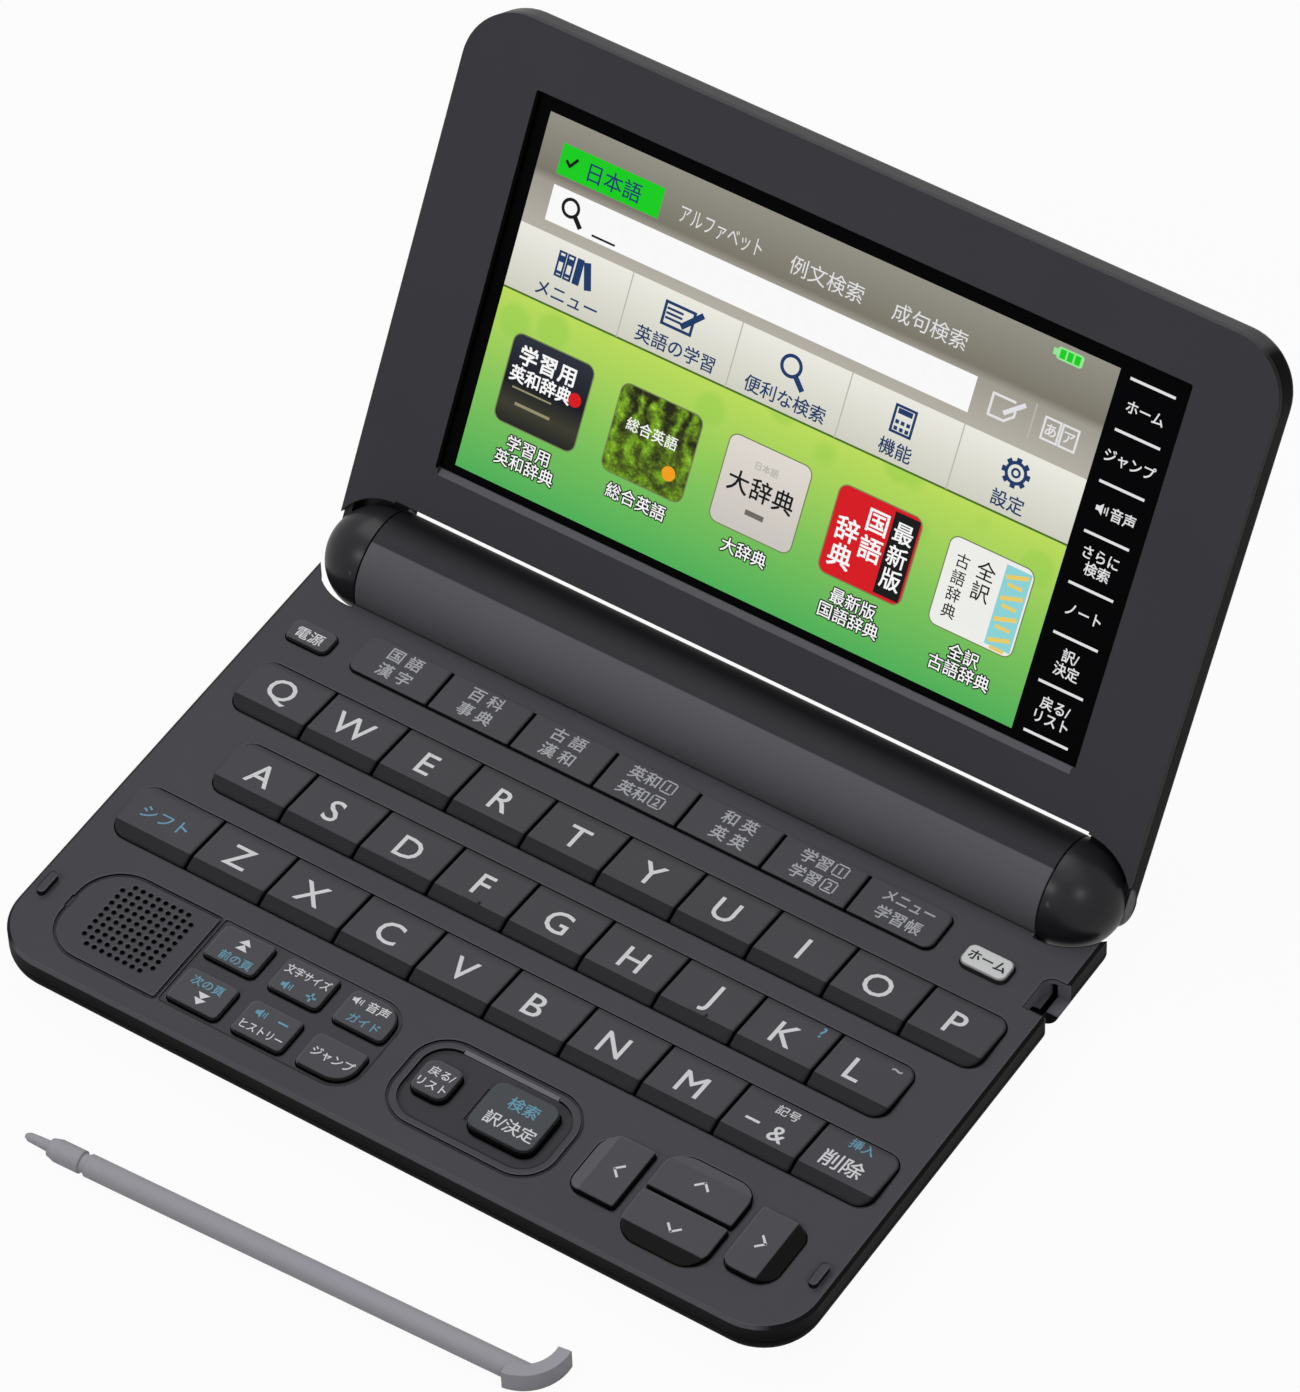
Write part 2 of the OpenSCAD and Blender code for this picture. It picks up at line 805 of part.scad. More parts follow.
module main_board() {
    color([0.1, 0.35, 0.2])
    translate([0, 0, board_z])
        linear_extrude(board_t)
            difference() {
                board_plan(board_inset);
                inner_cuts(boss_r + 0.2);
            }
}

module key_membrane() {
    color([0.55, 0.56, 0.58])
    difference() {
        union() {
            translate([0, 0, sheet_z])
                linear_extrude(sheet_t)
                    difference() {
                        board_plan(board_inset + 0.6);
                        inner_cuts(boss_r + 0.4);
                        translate(grille_at)
                            circle(speaker_r + 0.4);
                    }
            for (p = stem_spots)
                translate([p[0], p[1], sheet_top - eps])
                    cylinder(h = dome_ring_z - sheet_top + eps, r = dome_ring_r, $fn = 20);
        }
        for (p = stem_spots)
            translate([p[0], p[1], sheet_top])
                cylinder(h = 10, r = dome_ring_in, $fn = 20);
    }
}

module speaker() {
    color([0.2, 0.2, 0.21])
    translate([grille_at[0], grille_at[1], deck_under - 0.1])
        mirror([0, 0, 1])
            rotate_extrude()
                polygon([
                    [0, 0.6], [3, 0.3], [5.2, 0.9], [6.4, 0.3], [speaker_r - 0.8, 0],
                    [speaker_r, 0], [speaker_r, 1.2], [5, 1.6], [5, speaker_t], [0, speaker_t]
                ]);
}

module rubber_feet() {
    color([0.08, 0.08, 0.08]) {
        for (side = [-1, 1])
            translate([side * foot_x, foot_y, -foot_h])
                cylinder(h = foot_h + foot_top, r = foot_r);
        for (side = [-1, 1])
            translate([side * rear_foot_x, rear_foot_y, -foot_h])
                cylinder(h = foot_h + foot_top, r = foot_r);
    }
}

module screws() {
    color("silver")
    at_screws() {
        difference() {
            translate([0, 0, screw_seat_z - screw_head_t - 0.05])
                cylinder(h = screw_head_t, r = screw_head_r);
            for (a = [0, 90])
                rotate(a)
                    translate([0, 0, screw_seat_z - screw_head_t])
                        cube([screw_slot_l, screw_slot_w, screw_head_t - 0.2], center = true);
        }
        translate([0, 0, screw_seat_z - 0.2])
            cylinder(h = screw_tip_z - screw_seat_z + 0.2, r = screw_r);
    }
}

// ---- keys ----

module stem(k) {
    if (len(k[8]) == 2)
        translate([k[8][0], k[8][1], stem_z])
            cylinder(h = flange_z - stem_z + eps, r = stem_r, $fn = 20);
}

// Flange under the deck; the up and down keys catch only on the sides turned away from each other
module flange(k) {
    in = max(k[7]);
    front = k[0] == "key_up" ? 0 : key_catch;
    back = k[0] == "key_down" ? 0 : key_catch;
    translate([k[1] + in, k[3] - front, flange_z])
        cube([k[2] - k[1] - 2 * in, k[4] - k[3] + front + back, flange_t]);
}

// Side view of a cap, drawn from its front to its back edge and swept along X
module skirted(x0, x1, y0, y1, skirt, top, back_top) {
    translate([x0, 0, 0])
        rotate([90, 0, 90])
            linear_extrude(x1 - x0)
                polygon([
                    [y0, flange_z], [y1, flange_z], [y1, back_top - 0.1], [y1 - 0.15, back_top],
                    [y0 + skirt, top], [y0, deck_z]
                ]);
}

module letter_key(k) {
    homing = k[0] == "key_f" || k[0] == "key_j";
    color(key_grey) {
        intersection() {
            translate([0, 0, flange_z])
                linear_extrude(k[5] - flange_z)
                    key_plan(k);
            skirted(k[1], k[2], k[3], k[4], k[6], k[5], deck_z + key_back_rise);
        }
        flange(k);
        stem(k);
        if (homing)
            translate([(k[1] + k[2]) / 2, k[3] + key_skirt + 0.3, k[5] - 0.1])
                rotate([0, 90, 0])
                    cylinder(h = homing_l, r = homing_r, center = true, $fn = 24);
    }
}

// Flat cap with one step-down bevel round its top edge
module flat_key(k, tone = key_grey) {
    color(tone) {
        translate([0, 0, flange_z])
            linear_extrude(k[5] - 0.2 - flange_z)
                key_plan(k);
        translate([0, 0, k[5] - 0.2 - eps])
            linear_extrude(0.2 + eps)
                key_plan(k, -0.2);
        flange(k);
        stem(k);
    }
}

// Arrow cap whose outer side slopes down to the deck; turn 0 slopes to the front
module arrow_key(k, turn) {
    w = k[2] - k[1];
    d = k[4] - k[3];
    long = turn % 180 == 0 ? w : d;
    deep = turn % 180 == 0 ? d : w;
    color(key_grey) {
        intersection() {
            translate([0, 0, flange_z])
                linear_extrude(k[5] - flange_z)
                    key_plan(k);
            translate([(k[1] + k[2]) / 2, (k[3] + k[4]) / 2, 0])
                rotate(turn)
                    skirted(-long / 2, long / 2, -deep / 2, deep / 2, arrow_slope, k[5], k[5]);
        }
        flange(k);
        stem(k);
    }
}

module shortcut_keys() {
    y0 = short_y - short_len;
    color(key_grey) {
        difference() {
            translate([0, 0, flange_z])
                linear_extrude(short_top - flange_z)
                    short_strip_plan();
            for (i = [1:short_n - 1])
                translate([short_x + i * short_pitch - key_gap / 2, y0 - 1, flange_z + 0.8])
                    cube([key_gap, short_len + 2, 5]);
        }
        translate([short_x + 2.5, y0 - key_catch, flange_z])
            cube([short_n * short_pitch - 5, short_len + 2 * key_catch, flange_t]);
        for (x = short_spots)
            translate([x, short_y - short_stem, stem_z])
                cylinder(h = flange_z - stem_z + eps, r = stem_r, $fn = 20);
    }
}

// ---- lid ----

module in_lid() {
    translate([0, hinge_y, hinge_z])
        rotate([180 - lid_open, 0, 0])
            children();
}

module lid_slab(h, f) {
    translate([0, 0, lid_back])
        rotate([0, 0, 180])
            edged_slab(half_w, -lid_l, 0, corner_r, h, f);
}

// Rounded end of the lid's side beyond the hinge axis
module toe(side) {
    mirror([side, 0, 0])
        translate([dome_x, 0, lid_face - toe_r])
            rotate([0, 90, 0])
                rotate_extrude()
                    mirror([0, 1])
                        translate([0, dome_x - half_w])
                            edge_profile(toe_r, half_w - dome_x, toe_edge, 0);
}

module dome(side) {
    mirror([side, 0, 0]) {
        intersection() {
            translate([dome_x, 0, 0])
                sphere(barrel_r, $fn = 96);
            translate([dome_x, -15, -15])
                cube(30);
        }
        translate([arm_in, 0, 0])
            rotate([0, 90, 0])
                cylinder(h = dome_x - arm_in, r = barrel_r, $fn = 96);
    }
}

module lid_cover() {
    color(shell_grey)
    in_lid()
    difference() {
        union() {
            difference() {
                lid_slab(bezel_back - lid_back - 0.02, lid_edge_r);
                translate([-arm_in, -20, -15])
                    cube([2 * arm_in, 20 + lid_foot, 30]);
                intersection() {
                    for (side = [-1, 1])
                        translate([side * dome_x, 0, bezel_back - dome_groove])
                            cylinder(h = 20, r = bezel_dome_r);
                    cube([2 * (half_w - lid_wall), 40, 40], center = true);
                }
                translate([0, 0, lid_back + lid_wall])
                    linear_extrude(20)
                        rounded(-half_w + wall, half_w - wall, lid_foot + lid_wall,
                            lid_l - wall, [0.5, 0.5, belly_in, belly_in]);
            }
            for (side = [0, 1]) {
                toe(side);
                dome(side);
            }
        }
        for (side = [-1, 1])
            translate([side * (arm_in - 1), 0, 0])
                rotate([0, side * 90, 0])
                    cylinder(h = pin_reach + 1.5, r = pin_r + pin_play);
    }
}

module lid_bezel() {
    color(shell_grey)
    in_lid()
    difference() {
        translate([0, 0, bezel_back])
            linear_extrude(bezel_t)
                difference() {
                    rounded(-half_w, half_w, 0, lid_l, [0, 0, corner_r, corner_r]);
                    translate([-dome_x, -1])
                        square([2 * dome_x, lid_foot + 1]);
                    for (side = [-1, 1])
                        translate([side * dome_x, 0])
                            circle(bezel_dome_r);
                    rounded(-window_w / 2, window_w / 2, window_foot, window_foot + window_h,
                        [window_r, window_r, window_r, window_r]);
                }
        translate([0, window_foot, lid_face])
            rotate([45, 0, 0])
                cube([window_w - 3 * window_r, bezel_chamfer, bezel_chamfer], center = true);
    }
}

module touch_panel() {
    color([0.03, 0.03, 0.04])
    in_lid()
        translate([0, 0, touch_z])
            linear_extrude(touch_t)
                rounded(-window_w / 2 - touch_over, window_w / 2 + touch_over,
                    window_foot - touch_over, window_foot + window_h + touch_over,
                    [1, 1, 1, 1]);
}

module lcd_module() {
    color([0.6, 0.62, 0.64])
    in_lid()
        translate([0, 0, lcd_z])
            linear_extrude(lcd_t)
                rounded(-window_w / 2 - lcd_over, window_w / 2 + lcd_over,
                    window_foot - lcd_over, window_foot + window_h + lcd_over, [1, 1, 1, 1]);
}

// ---- stylus ----

// Long body turned about X, from its tip at the origin to the inside of the end tab
module stylus() {
    shaft_end = stylus_l - tab_out_r + tab_root;
    color([0.6, 0.6, 0.63])
    translate(stylus_at)
        rotate([0, 0, stylus_turn]) {
            rotate([0, 90, 0])
                rotate_extrude()
                    polygon([
                        [0, 0], [nib_r / 2, 0.1], [nib_r, nib_l], [tip_r, tip_l],
                        [collar_r, tip_l + 0.2], [stylus_r, tip_l + collar_l],
                        [stylus_r, groove_at], [stylus_r - groove_in, groove_at + 0.1],
                        [stylus_r - groove_in, groove_at + groove_l],
                        [stylus_r, groove_at + groove_l + 0.4], [stylus_r, shaft_end],
                        [0, shaft_end]
                    ]);
            translate([stylus_l - tab_out_r, tab_set, -stylus_r])
                rotate(tab_from)
                    rotate_extrude(angle = tab_to - tab_from)
                        translate([tab_out_r - tab_t, 0])
                            square([tab_t, 2 * stylus_r]);
            intersection() {
                translate([shaft_end - 1, 0, 0])
                    rotate([0, 90, 0])
                        cylinder(h = tab_out_r, r = stylus_r);
                translate([stylus_l - tab_out_r, tab_set, -stylus_r])
                    cylinder(h = 2 * stylus_r, r = tab_out_r - fit);
            }
        }
}

module key_cap(k) {
    if (k[6] > 0)
        letter_key(k);
    else if (k[0] == "key_home")
        flat_key(k, [0.75, 0.76, 0.78]);
    else if (k[0] == "key_down")
        arrow_key(k, 0);
    else if (k[0] == "key_right")
        arrow_key(k, 90);
    else if (k[0] == "key_up")
        arrow_key(k, 180);
    else if (k[0] == "key_left")
        arrow_key(k, 270);
    else
        flat_key(k);
}

lower_case();
keyboard_deck();
battery_barrel();
battery_cover();
aa_cells();
main_board();
key_membrane();
speaker();
hinge_pins();
rubber_feet();
screws();
lid_cover();
lid_bezel();
lcd_module();
touch_panel();
stylus();
shortcut_keys();
for (k = key_caps)
    key_cap(k);
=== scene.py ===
import bmesh
import bpy
import math
from mathutils import Matrix, Vector


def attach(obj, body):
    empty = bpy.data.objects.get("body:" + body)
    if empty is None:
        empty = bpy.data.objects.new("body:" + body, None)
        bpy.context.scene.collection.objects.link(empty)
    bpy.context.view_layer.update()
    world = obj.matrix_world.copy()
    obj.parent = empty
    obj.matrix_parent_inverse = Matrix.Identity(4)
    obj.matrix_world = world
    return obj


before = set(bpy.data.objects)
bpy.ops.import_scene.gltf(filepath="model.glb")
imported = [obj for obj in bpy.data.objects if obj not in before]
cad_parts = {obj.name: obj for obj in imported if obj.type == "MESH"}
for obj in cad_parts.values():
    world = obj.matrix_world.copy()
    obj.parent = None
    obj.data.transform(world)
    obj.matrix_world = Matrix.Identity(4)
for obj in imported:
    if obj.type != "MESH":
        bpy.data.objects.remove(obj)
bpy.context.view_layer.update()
MM = 0.001

# Places in millimetres: the hinge axis, and how far from the lid's plane through it the display's
# face lies
HINGE_Y, HINGE_Z = 43.75, 9.1
SCREEN_FACE = -0.95
LID_OPEN = math.radians(120)


# ---- camera ----

TURN, RISE, ROLL = math.radians(34.992), math.radians(49.270), math.radians(-2.254)
CAMERA_PLACE = (0.470832, -0.647673, 0.987613)
SENSOR, LENS = 36, 225.735


def aim_camera():
    """A long lens from the front right and above, with the roll of the photograph."""
    level = math.cos(RISE)
    back = Vector((math.sin(TURN) * level, -math.cos(TURN) * level, math.sin(RISE)))
    across = Vector((0, 0, 1)).cross(back).normalized()
    over = back.cross(across)
    right = math.cos(ROLL) * across + math.sin(ROLL) * over
    up = math.cos(ROLL) * over - math.sin(ROLL) * across
    lens = bpy.data.cameras.new("camera")
    lens.sensor_fit = "HORIZONTAL"
    lens.sensor_width = SENSOR
    lens.lens = LENS
    lens.clip_start, lens.clip_end = 0.05, 20
    camera = bpy.data.objects.new("camera", lens)
    bpy.context.scene.collection.objects.link(camera)
    camera.matrix_world = (Matrix.Translation(CAMERA_PLACE)
                           @ Matrix((right, up, back)).transposed().to_4x4())
    bpy.context.scene.camera = camera


# ---- shader nodes ----

class Wire:
    """A socket of a shader that takes part in sums."""

    def __init__(self, nodes, socket):
        self.nodes, self.socket = nodes, socket

    def work(self, kind, *values):
        return self.nodes.add("ShaderNodeMath", {"operation": kind}, dict(enumerate(values)))

    def __add__(self, other):
        return self.work("ADD", self, other)

    __radd__ = __add__

    def __sub__(self, other):
        return self.work("SUBTRACT", self, other)

    def __rsub__(self, other):
        return self.work("SUBTRACT", other, self)

    def __mul__(self, other):
        return self.work("MULTIPLY", self, other)

    __rmul__ = __mul__

    def __truediv__(self, other):
        return self.work("DIVIDE", self, other)

    def __gt__(self, other):
        return self.work("GREATER_THAN", self, other)

    def fraction(self):
        return self.work("FRACT", self)

    def clamp(self):
        return self.nodes.add("ShaderNodeClamp", {}, {0: self, 1: 0.0, 2: 1.0})

    def above(self, start, rate):
        """0 up to a start, and from there it rises at a rate until it reaches 1."""
        return ((self - start) * rate).clamp()

    def below(self, end, rate):
        """The mirror of above: 0 past an end."""
        return ((end - self) * rate).clamp()

    def between(self, low, high, rate):
        return self.above(low, rate) * self.below(high, rate)


class Nodes:
    """The nodes of a material or of the world."""

    def __init__(self, tree):
        self.tree = tree

    def feed(self, socket, value):
        if isinstance(value, Wire):
            self.tree.links.new(value.socket, socket)
        elif value is not None:
            socket.default_value = value

    def add(self, kind, settings, values, out=0):
        """One node: its type, its settings or a ramp's stops, and its sockets by name or number."""
        node = self.tree.nodes.new(kind)
        for key, value in settings.items():
            if key == "stops":
                elements = node.color_ramp.elements
                while len(elements) < len(value):
                    elements.new(0.5)
                for element, (at, colour) in zip(elements, value):
                    element.position, element.color = at, colour
            else:
                setattr(node, key, value)
        for key, value in values.items():
            self.feed(node.inputs[key], value)
        return Wire(self, node.outputs[out])

    def seen_rays(self):
        """The rays that see the backdrop itself: straight, mirrored or through something clear."""
        straight, mirrored, through = [self.add("ShaderNodeLightPath", {}, {}, out=ray) for ray in
                                       ("Is Camera Ray", "Is Glossy Ray", "Is Transmission Ray")]
        return (straight + mirrored + through).clamp()


class Paint(Nodes):
    """A material under construction, with a Principled shader at its end."""

    def __init__(self, name, **fixed):
        self.material = bpy.data.materials.new(name)
        self.material.use_nodes = True
        super().__init__(self.material.node_tree)
        self.shader = self.tree.nodes["Principled BSDF"]
        self.set(**fixed)

    def set(self, **values):
        for name, value in values.items():
            self.feed(self.shader.inputs[name.replace("_", " ")], value)

    def place(self):
        return self.add("ShaderNodeTexCoord", {}, {}, out="Object")

    def parts_of(self, vector):
        return [self.add("ShaderNodeSeparateXYZ", {}, {0: vector}, out=i) for i in range(3)]

    def spot(self):
        """How far to the right, to the back and up a place lies, in millimetres."""
        return [v / MM for v in self.parts_of(self.place())]

    def facing(self):
        """How far the surface faces the right, the back and upwards."""
        return self.parts_of(self.add("ShaderNodeTexCoord", {}, {}, out="Normal"))

    def noise(self, scale, detail=2.0, rough=0.5):
        return self.add("ShaderNodeTexNoise", {}, {"Vector": self.place(), "Scale": scale,
                                                   "Detail": detail, "Roughness": rough})

    def cells(self, scale, randomness):
        """The distance to the nearest of many scattered points."""
        return self.add("ShaderNodeTexVoronoi", {"feature": "F1"},
                        {"Vector": self.place(), "Scale": scale, "Randomness": randomness})

    def blend(self, share, first, second):
        return self.add("ShaderNodeMix", {"data_type": "RGBA"}, {0: share, 6: first, 7: second},
                        out=2)

    def ramp(self, share, stops):
        return self.add("ShaderNodeValToRGB", {"stops": stops}, {0: share})

    def soft_edge(self, radius):
        return self.add("ShaderNodeBevel", {"samples": 6}, {0: radius * MM})

    def relief(self, height, strength, depth, radius):
        """Fine relief over edges that are rounded by a radius."""
        edge = self.soft_edge(radius) if radius else None
        self.set(Normal=self.add("ShaderNodeBump", {},
                                 {"Strength": strength, "Distance": depth * MM, "Height": height,
                                  "Normal": edge}))


def shade(r, g, b):
    """A colour given as it shows on a display, 0 to 255, as the shader wants it."""
    def linear(v):
        v /= 255
        return v / 12.92 if v <= 0.04045 else ((v + 0.055) / 1.055) ** 2.4
    return (linear(r), linear(g), linear(b), 1)


def tone(colour, factor):
    return [v * factor for v in colour[:3]] + [1]


# ---- plastic ----

DECK = shade(79, 78, 83)
BEZEL = shade(70, 69, 74)
SKIN = shade(44, 43, 47)
# Painted shade shows next to none of a plastic's colour, and a painted highlight on edges a few
# times as much
PAINTED_SHADE_TONE, PAINTED_HIGHLIGHT_TONE = 0.02, 2.8
# Clouds of the mottle in each metre
CLOUDS = 38
# No skirt stands higher than this; the bumps of F and J do
SKIRT_TOP = 8.68
# How far out the lid's side walls begin, and squared, how far from the hinge axis a dome's tip
# and the whole dome reach
LID_SIDE, TIP_REACH, DOME_REACH = 73.9, 16, 86
# Where the finger scoop and the enter key's island lie: to the right, to the back and up
SCOOP_X, SCOOP_Y, SCOOP_Z = (69.4, 80), (21.2, 29), (3.3, 7.5)
ISLAND_X, ISLAND_Y = (-10, 35), (-45, -30)


class Plastic(Paint):
    """Moulded plastic: a fine spark-eroded grain, a faint mottle and edges with a small radius.
    The methods tint parts of it, each over those before it. Most tints are painted light and
    shade: painted shade on the steep walls, the skirts of the keys, the sunken places and the
    edges that lean one way, and painted highlights on the other edges, on slopes and in the
    finger scoop."""

    def __init__(self, name, colour, gloss=0.5, grain=0.25, grain_size=0.35, edge=0.12,
                 sheen=0.14, mottle=0.1):
        super().__init__(name, Specular_IOR_Level=sheen)
        self.colour = colour
        fine = self.noise(1000 / grain_size, 3.0, 0.6)
        cloud = self.noise(CLOUDS, 4.0, 0.55)
        self.body = self.blend(cloud, tone(colour, 1 - mottle), tone(colour, 1 + mottle))
        self.set(Base_Color=self.body, Roughness=(cloud - 0.5) * 0.12 + (fine - 0.5) * 0.1 + gloss)
        self.relief(fine, grain, 0.03, edge)

    def tint(self, share, colour):
        self.body = self.blend(share, self.body, colour)
        self.set(Base_Color=self.body)
        return self

    # Painted shade: a share of the surface in a near-black tone of its colour.
    def paint_shade(self, share):
        return self.tint(share, tone(self.colour, PAINTED_SHADE_TONE))

    def rims(self, right, back, width, highlight_share=0.0):
        """Painted shade on the edges that lean one way, and a painted highlight on those that lean
        the other way.
        """
        to_right, to_back, _ = self.parts_of(self.soft_edge(width))
        lean = to_right * right + to_back * back
        slack, rate = 0.15, 5
        if highlight_share:
            self.tint(lean.below(-slack, rate) * highlight_share, tone(self.colour, PAINTED_HIGHLIGHT_TONE))
        return self.paint_shade(lean.above(slack, rate) * 0.85)

    def sunk(self, level, rate, most):
        """Painted shade: what lies below a level grows darker with its depth."""
        return self.paint_shade(self.spot()[2].below(level, rate) * most)

    def slopes(self, low, high, factor):
        """A painted highlight: a paler tone for what faces upwards between two amounts, of which 1
        is level.
        """
        return self.tint(self.facing()[2].between(low, high, 20), tone(self.colour, factor))

    def walls(self, share):
        """Painted shade on what stands steep, or faces either side."""
        right, _, up = self.facing()
        steep = up.below(0.5, 6) + (right * right).above(0.075, 8)
        return self.paint_shade(steep.clamp() * share)

    def skirts(self, share):
        """Painted shade on the keys' skirts that face the right and the front."""
        right, back, _ = self.facing()
        turned = (right * 2.4 - back * 2.2).clamp()
        return self.paint_shade(turned * self.spot()[2].below(SKIRT_TOP, 20) * share)

    def lid_sides(self, share, coat=0.0):
        """Painted shade on the lid's side edges clear of the domes. A coat makes the rest of the
        lid shine.
        """
        x, y, z = self.spot()
        right = self.facing()[0]
        behind, over = y - HINGE_Y, z - HINGE_Z
        reach = behind * behind + over * over
        beside = (x * x).above(LID_SIDE ** 2, 1) * reach.above(TIP_REACH, 0.2)
        side = (right * right).above(0.15, 6) * (reach.above(DOME_REACH, 0.3) + beside).clamp()
        if coat:
            self.set(Coat_Weight=(1 - side) * coat, Coat_Roughness=0.32)
        return self.paint_shade(side * share)

    def scoop(self):
        """Painted light in the finger scoop, in a tone paler than the deck, and a painted highlight
        on the sloped ledge of the enter key's island.
        """
        x, y, z = self.spot()
        hollow = x.between(*SCOOP_X, 8) * y.between(*SCOOP_Y, 8) * z.between(*SCOOP_Z, 8)
        sloped = self.facing()[2].between(0.5, 0.9, 20)
        ledge = x.between(*ISLAND_X, 8) * y.between(*ISLAND_Y, 8) * sloped
        return self.tint(hollow, tone(DECK, 1.8)).tint(ledge, tone(self.colour, 3.0))


def printing_ink(name, r, g, b):
    return Plastic(name, shade(r, g, b), 0.6, 0.05, 0.2, 0.0, 0.1, 0.02).material


# The tints chained after a plastic paint light and shade into its colour: shade on walls, skirts,
# hollows and some edges, highlights on other edges and slopes.
# Name, colour, gloss, grain, and in millimetres the size of the grain and the radius of the edges
case_plastic = (Plastic("case_plastic", SKIN, 0.55, 0.3, 0.4, 0.3, sheen=0.01)
                .slopes(0.5, 1.1, 2.4).walls(0.8).scoop().material)
deck_plastic = (Plastic("deck_plastic", DECK, 0.55, 0.25, 0.35, 0.15, sheen=0.03)
                .rims(-1, 1, 0.5, 0.3).sunk(7.62, 0.42, 1.0).slopes(0.5, 0.96, 1.3).walls(0.92)
                .scoop().material)
lid_plastic = (Plastic("lid_plastic", shade(31, 30, 34), 0.4, 0.08, 0.4, 0.4, 0.01)
               .lid_sides(0.9, coat=0.42).material)
bezel_plastic = (Plastic("bezel_plastic", BEZEL, 0.5, 0.22, 0.35, 0.12, sheen=0.05)
                 .slopes(0.88, 1.1, 1.9).lid_sides(0.9).material)
cover_plastic = Plastic("cover_plastic", SKIN, 0.55, 0.3, 0.4, 0.15, sheen=0.05).material
cap_plastic = (Plastic("cap_plastic", DECK, 0.5, 0.25, 0.3, 0.15, sheen=0.06)
               .rims(1, -0.2, 0.9).sunk(7.9, 4, 0.8).skirts(0.8).material)
small_cap = (Plastic("small_cap", shade(83, 82, 87), 0.5, 0.25, 0.3, 0.15, sheen=0.06)
             .rims(1, -1, 0.5, 0.2).sunk(7.7, 4, 0.8).skirts(0.88).material)
gloss_cap = (Plastic("gloss_cap", shade(72, 75, 79), 0.4, 0.05, 0.3, 0.4, 0.1)
             .rims(1, -1, 0.5, 0.2).sunk(7.7, 4, 0.8).skirts(0.8).material)
silver_cap = (Plastic("silver_cap", shade(212, 212, 214), 0.4, 0.08, 0.3, 0.3, 0.3, 0.03)
              .sunk(8.5, 6, 0.97).material)
stylus_plastic = Plastic("stylus_plastic", shade(166, 165, 172), 0.5, 0.1, 0.3, 0.25, 0.06,
                         0.05).material
speaker_black = Plastic("speaker_black", shade(22, 22, 24), 0.7, 0.4, 0.5, 0.1).material
ink_white = printing_ink("ink_white", 224, 224, 228)
ink_grey = printing_ink("ink_grey", 178, 179, 185)
ink_blue = printing_ink("ink_blue", 112, 165, 190)
ink_dark = printing_ink("ink_dark", 40, 40, 43)


# ---- the display's own light ----

def lit_paint(name):
    """A lit part of the display gives its own light, and the panel over it a little gloss."""
    return Paint(name, Roughness=0.3, Specular_IOR_Level=0.06, Base_Color=(0, 0, 0, 1),
                 Emission_Strength=1.0)


def glowing(name, colour):
    paint = lit_paint(name)
    pixels = paint.noise(900, 2.0, 0.5)
    paint.set(Emission_Color=paint.blend(pixels, tone(colour, 0.96), colour))
    return paint.material


def along_lid(paint):
    """The distance from the hinge along the lid, in millimetres."""
    _, back, up = paint.spot()
    return (back - HINGE_Y) * -math.cos(LID_OPEN) + (up - HINGE_Z) * math.sin(LID_OPEN)


def lit_fade(name, low, high, stops, blobs=None):
    """A lit field that fades along the lid, between two distances from the hinge. It may carry
    soft blobs of another colour, which grow stronger towards the lid's edge."""
    paint = lit_paint(name)
    along = along_lid(paint)
    fade = paint.ramp(((along - low) / (high - low)).clamp(), stops)
    if blobs:
        patch = paint.cells(105.0, 0.8).below(0.36, 9)
        blobs_from, blobs_full = 24, 54
        grown = ((along - blobs_from) / (blobs_full - blobs_from)).clamp()
        fade = paint.blend(patch * 0.35 * grown, fade, blobs)
    paint.set(Emission_Color=fade)
    return paint.material


# ---- the other finishes ----

def metal(name, colour, rough):
    paint = Paint(name, Metallic=1.0)
    streak = paint.noise(2200, 3.0, 0.6)
    cloud = paint.noise(300, 2.0, 0.5)
    paint.set(Base_Color=paint.blend(cloud, tone(colour, 0.85), colour),
              Roughness=(streak - 0.5) * 0.15 + rough)
    paint.relief(streak, 0.1, 0.01, 0.08)
    return paint.material


def rubber(name, colour):
    paint = Paint(name, Specular_IOR_Level=0.2)
    grain = paint.noise(2600, 3.0, 0.65)
    paint.set(Base_Color=paint.blend(grain, tone(colour, 0.8), colour),
              Roughness=(grain - 0.5) * 0.15 + 0.8)
    paint.relief(grain, 0.3, 0.03, 0.2)
    return paint.material


def barrel_finish():
    """The barrel is smooth on top and finely dotted below a line that faces up and to the front.
    The smooth top is darker, partly in its own tone and partly in painted shade, and painted
    shade darkens it towards black where the lid's foot runs over it."""
    paint = Paint("barrel_finish", Specular_IOR_Level=0.08)
    _, back, up = paint.spot()
    front, height = HINGE_Y - back, up - HINGE_Z

    def past(degrees, rate):
        """1 past a direction from the barrel's axis, measured up from the front."""
        turn = math.radians(degrees)
        return ((height * math.cos(turn) - front * math.sin(turn)) * rate + 0.5).clamp()

    top, lid_foot_shade = past(67.5, 4), past(92, 0.22)
    cloud = paint.noise(CLOUDS, 4.0, 0.55)
    low_tone = paint.blend(cloud, shade(92, 91, 96), shade(100, 99, 104))
    # The smooth top's tone: partly its own, partly painted shade
    top_tone = paint.blend(cloud, shade(50, 49, 54), shade(56, 55, 60))
    # Painted shade under the lid's foot, towards near black
    upper = paint.blend(lid_foot_shade * 0.8, top_tone, shade(8, 8, 9))
    paint.set(Base_Color=paint.blend(top, low_tone, upper), Roughness=0.6 - top * 0.05)
    fine, dots = paint.noise(2600, 3.0, 0.6), paint.cells(1700.0, 0.25)
    paint.relief(fine * 0.5 + (1 - top) * dots, 0.3, 0.03, 0.2)
    return paint.material


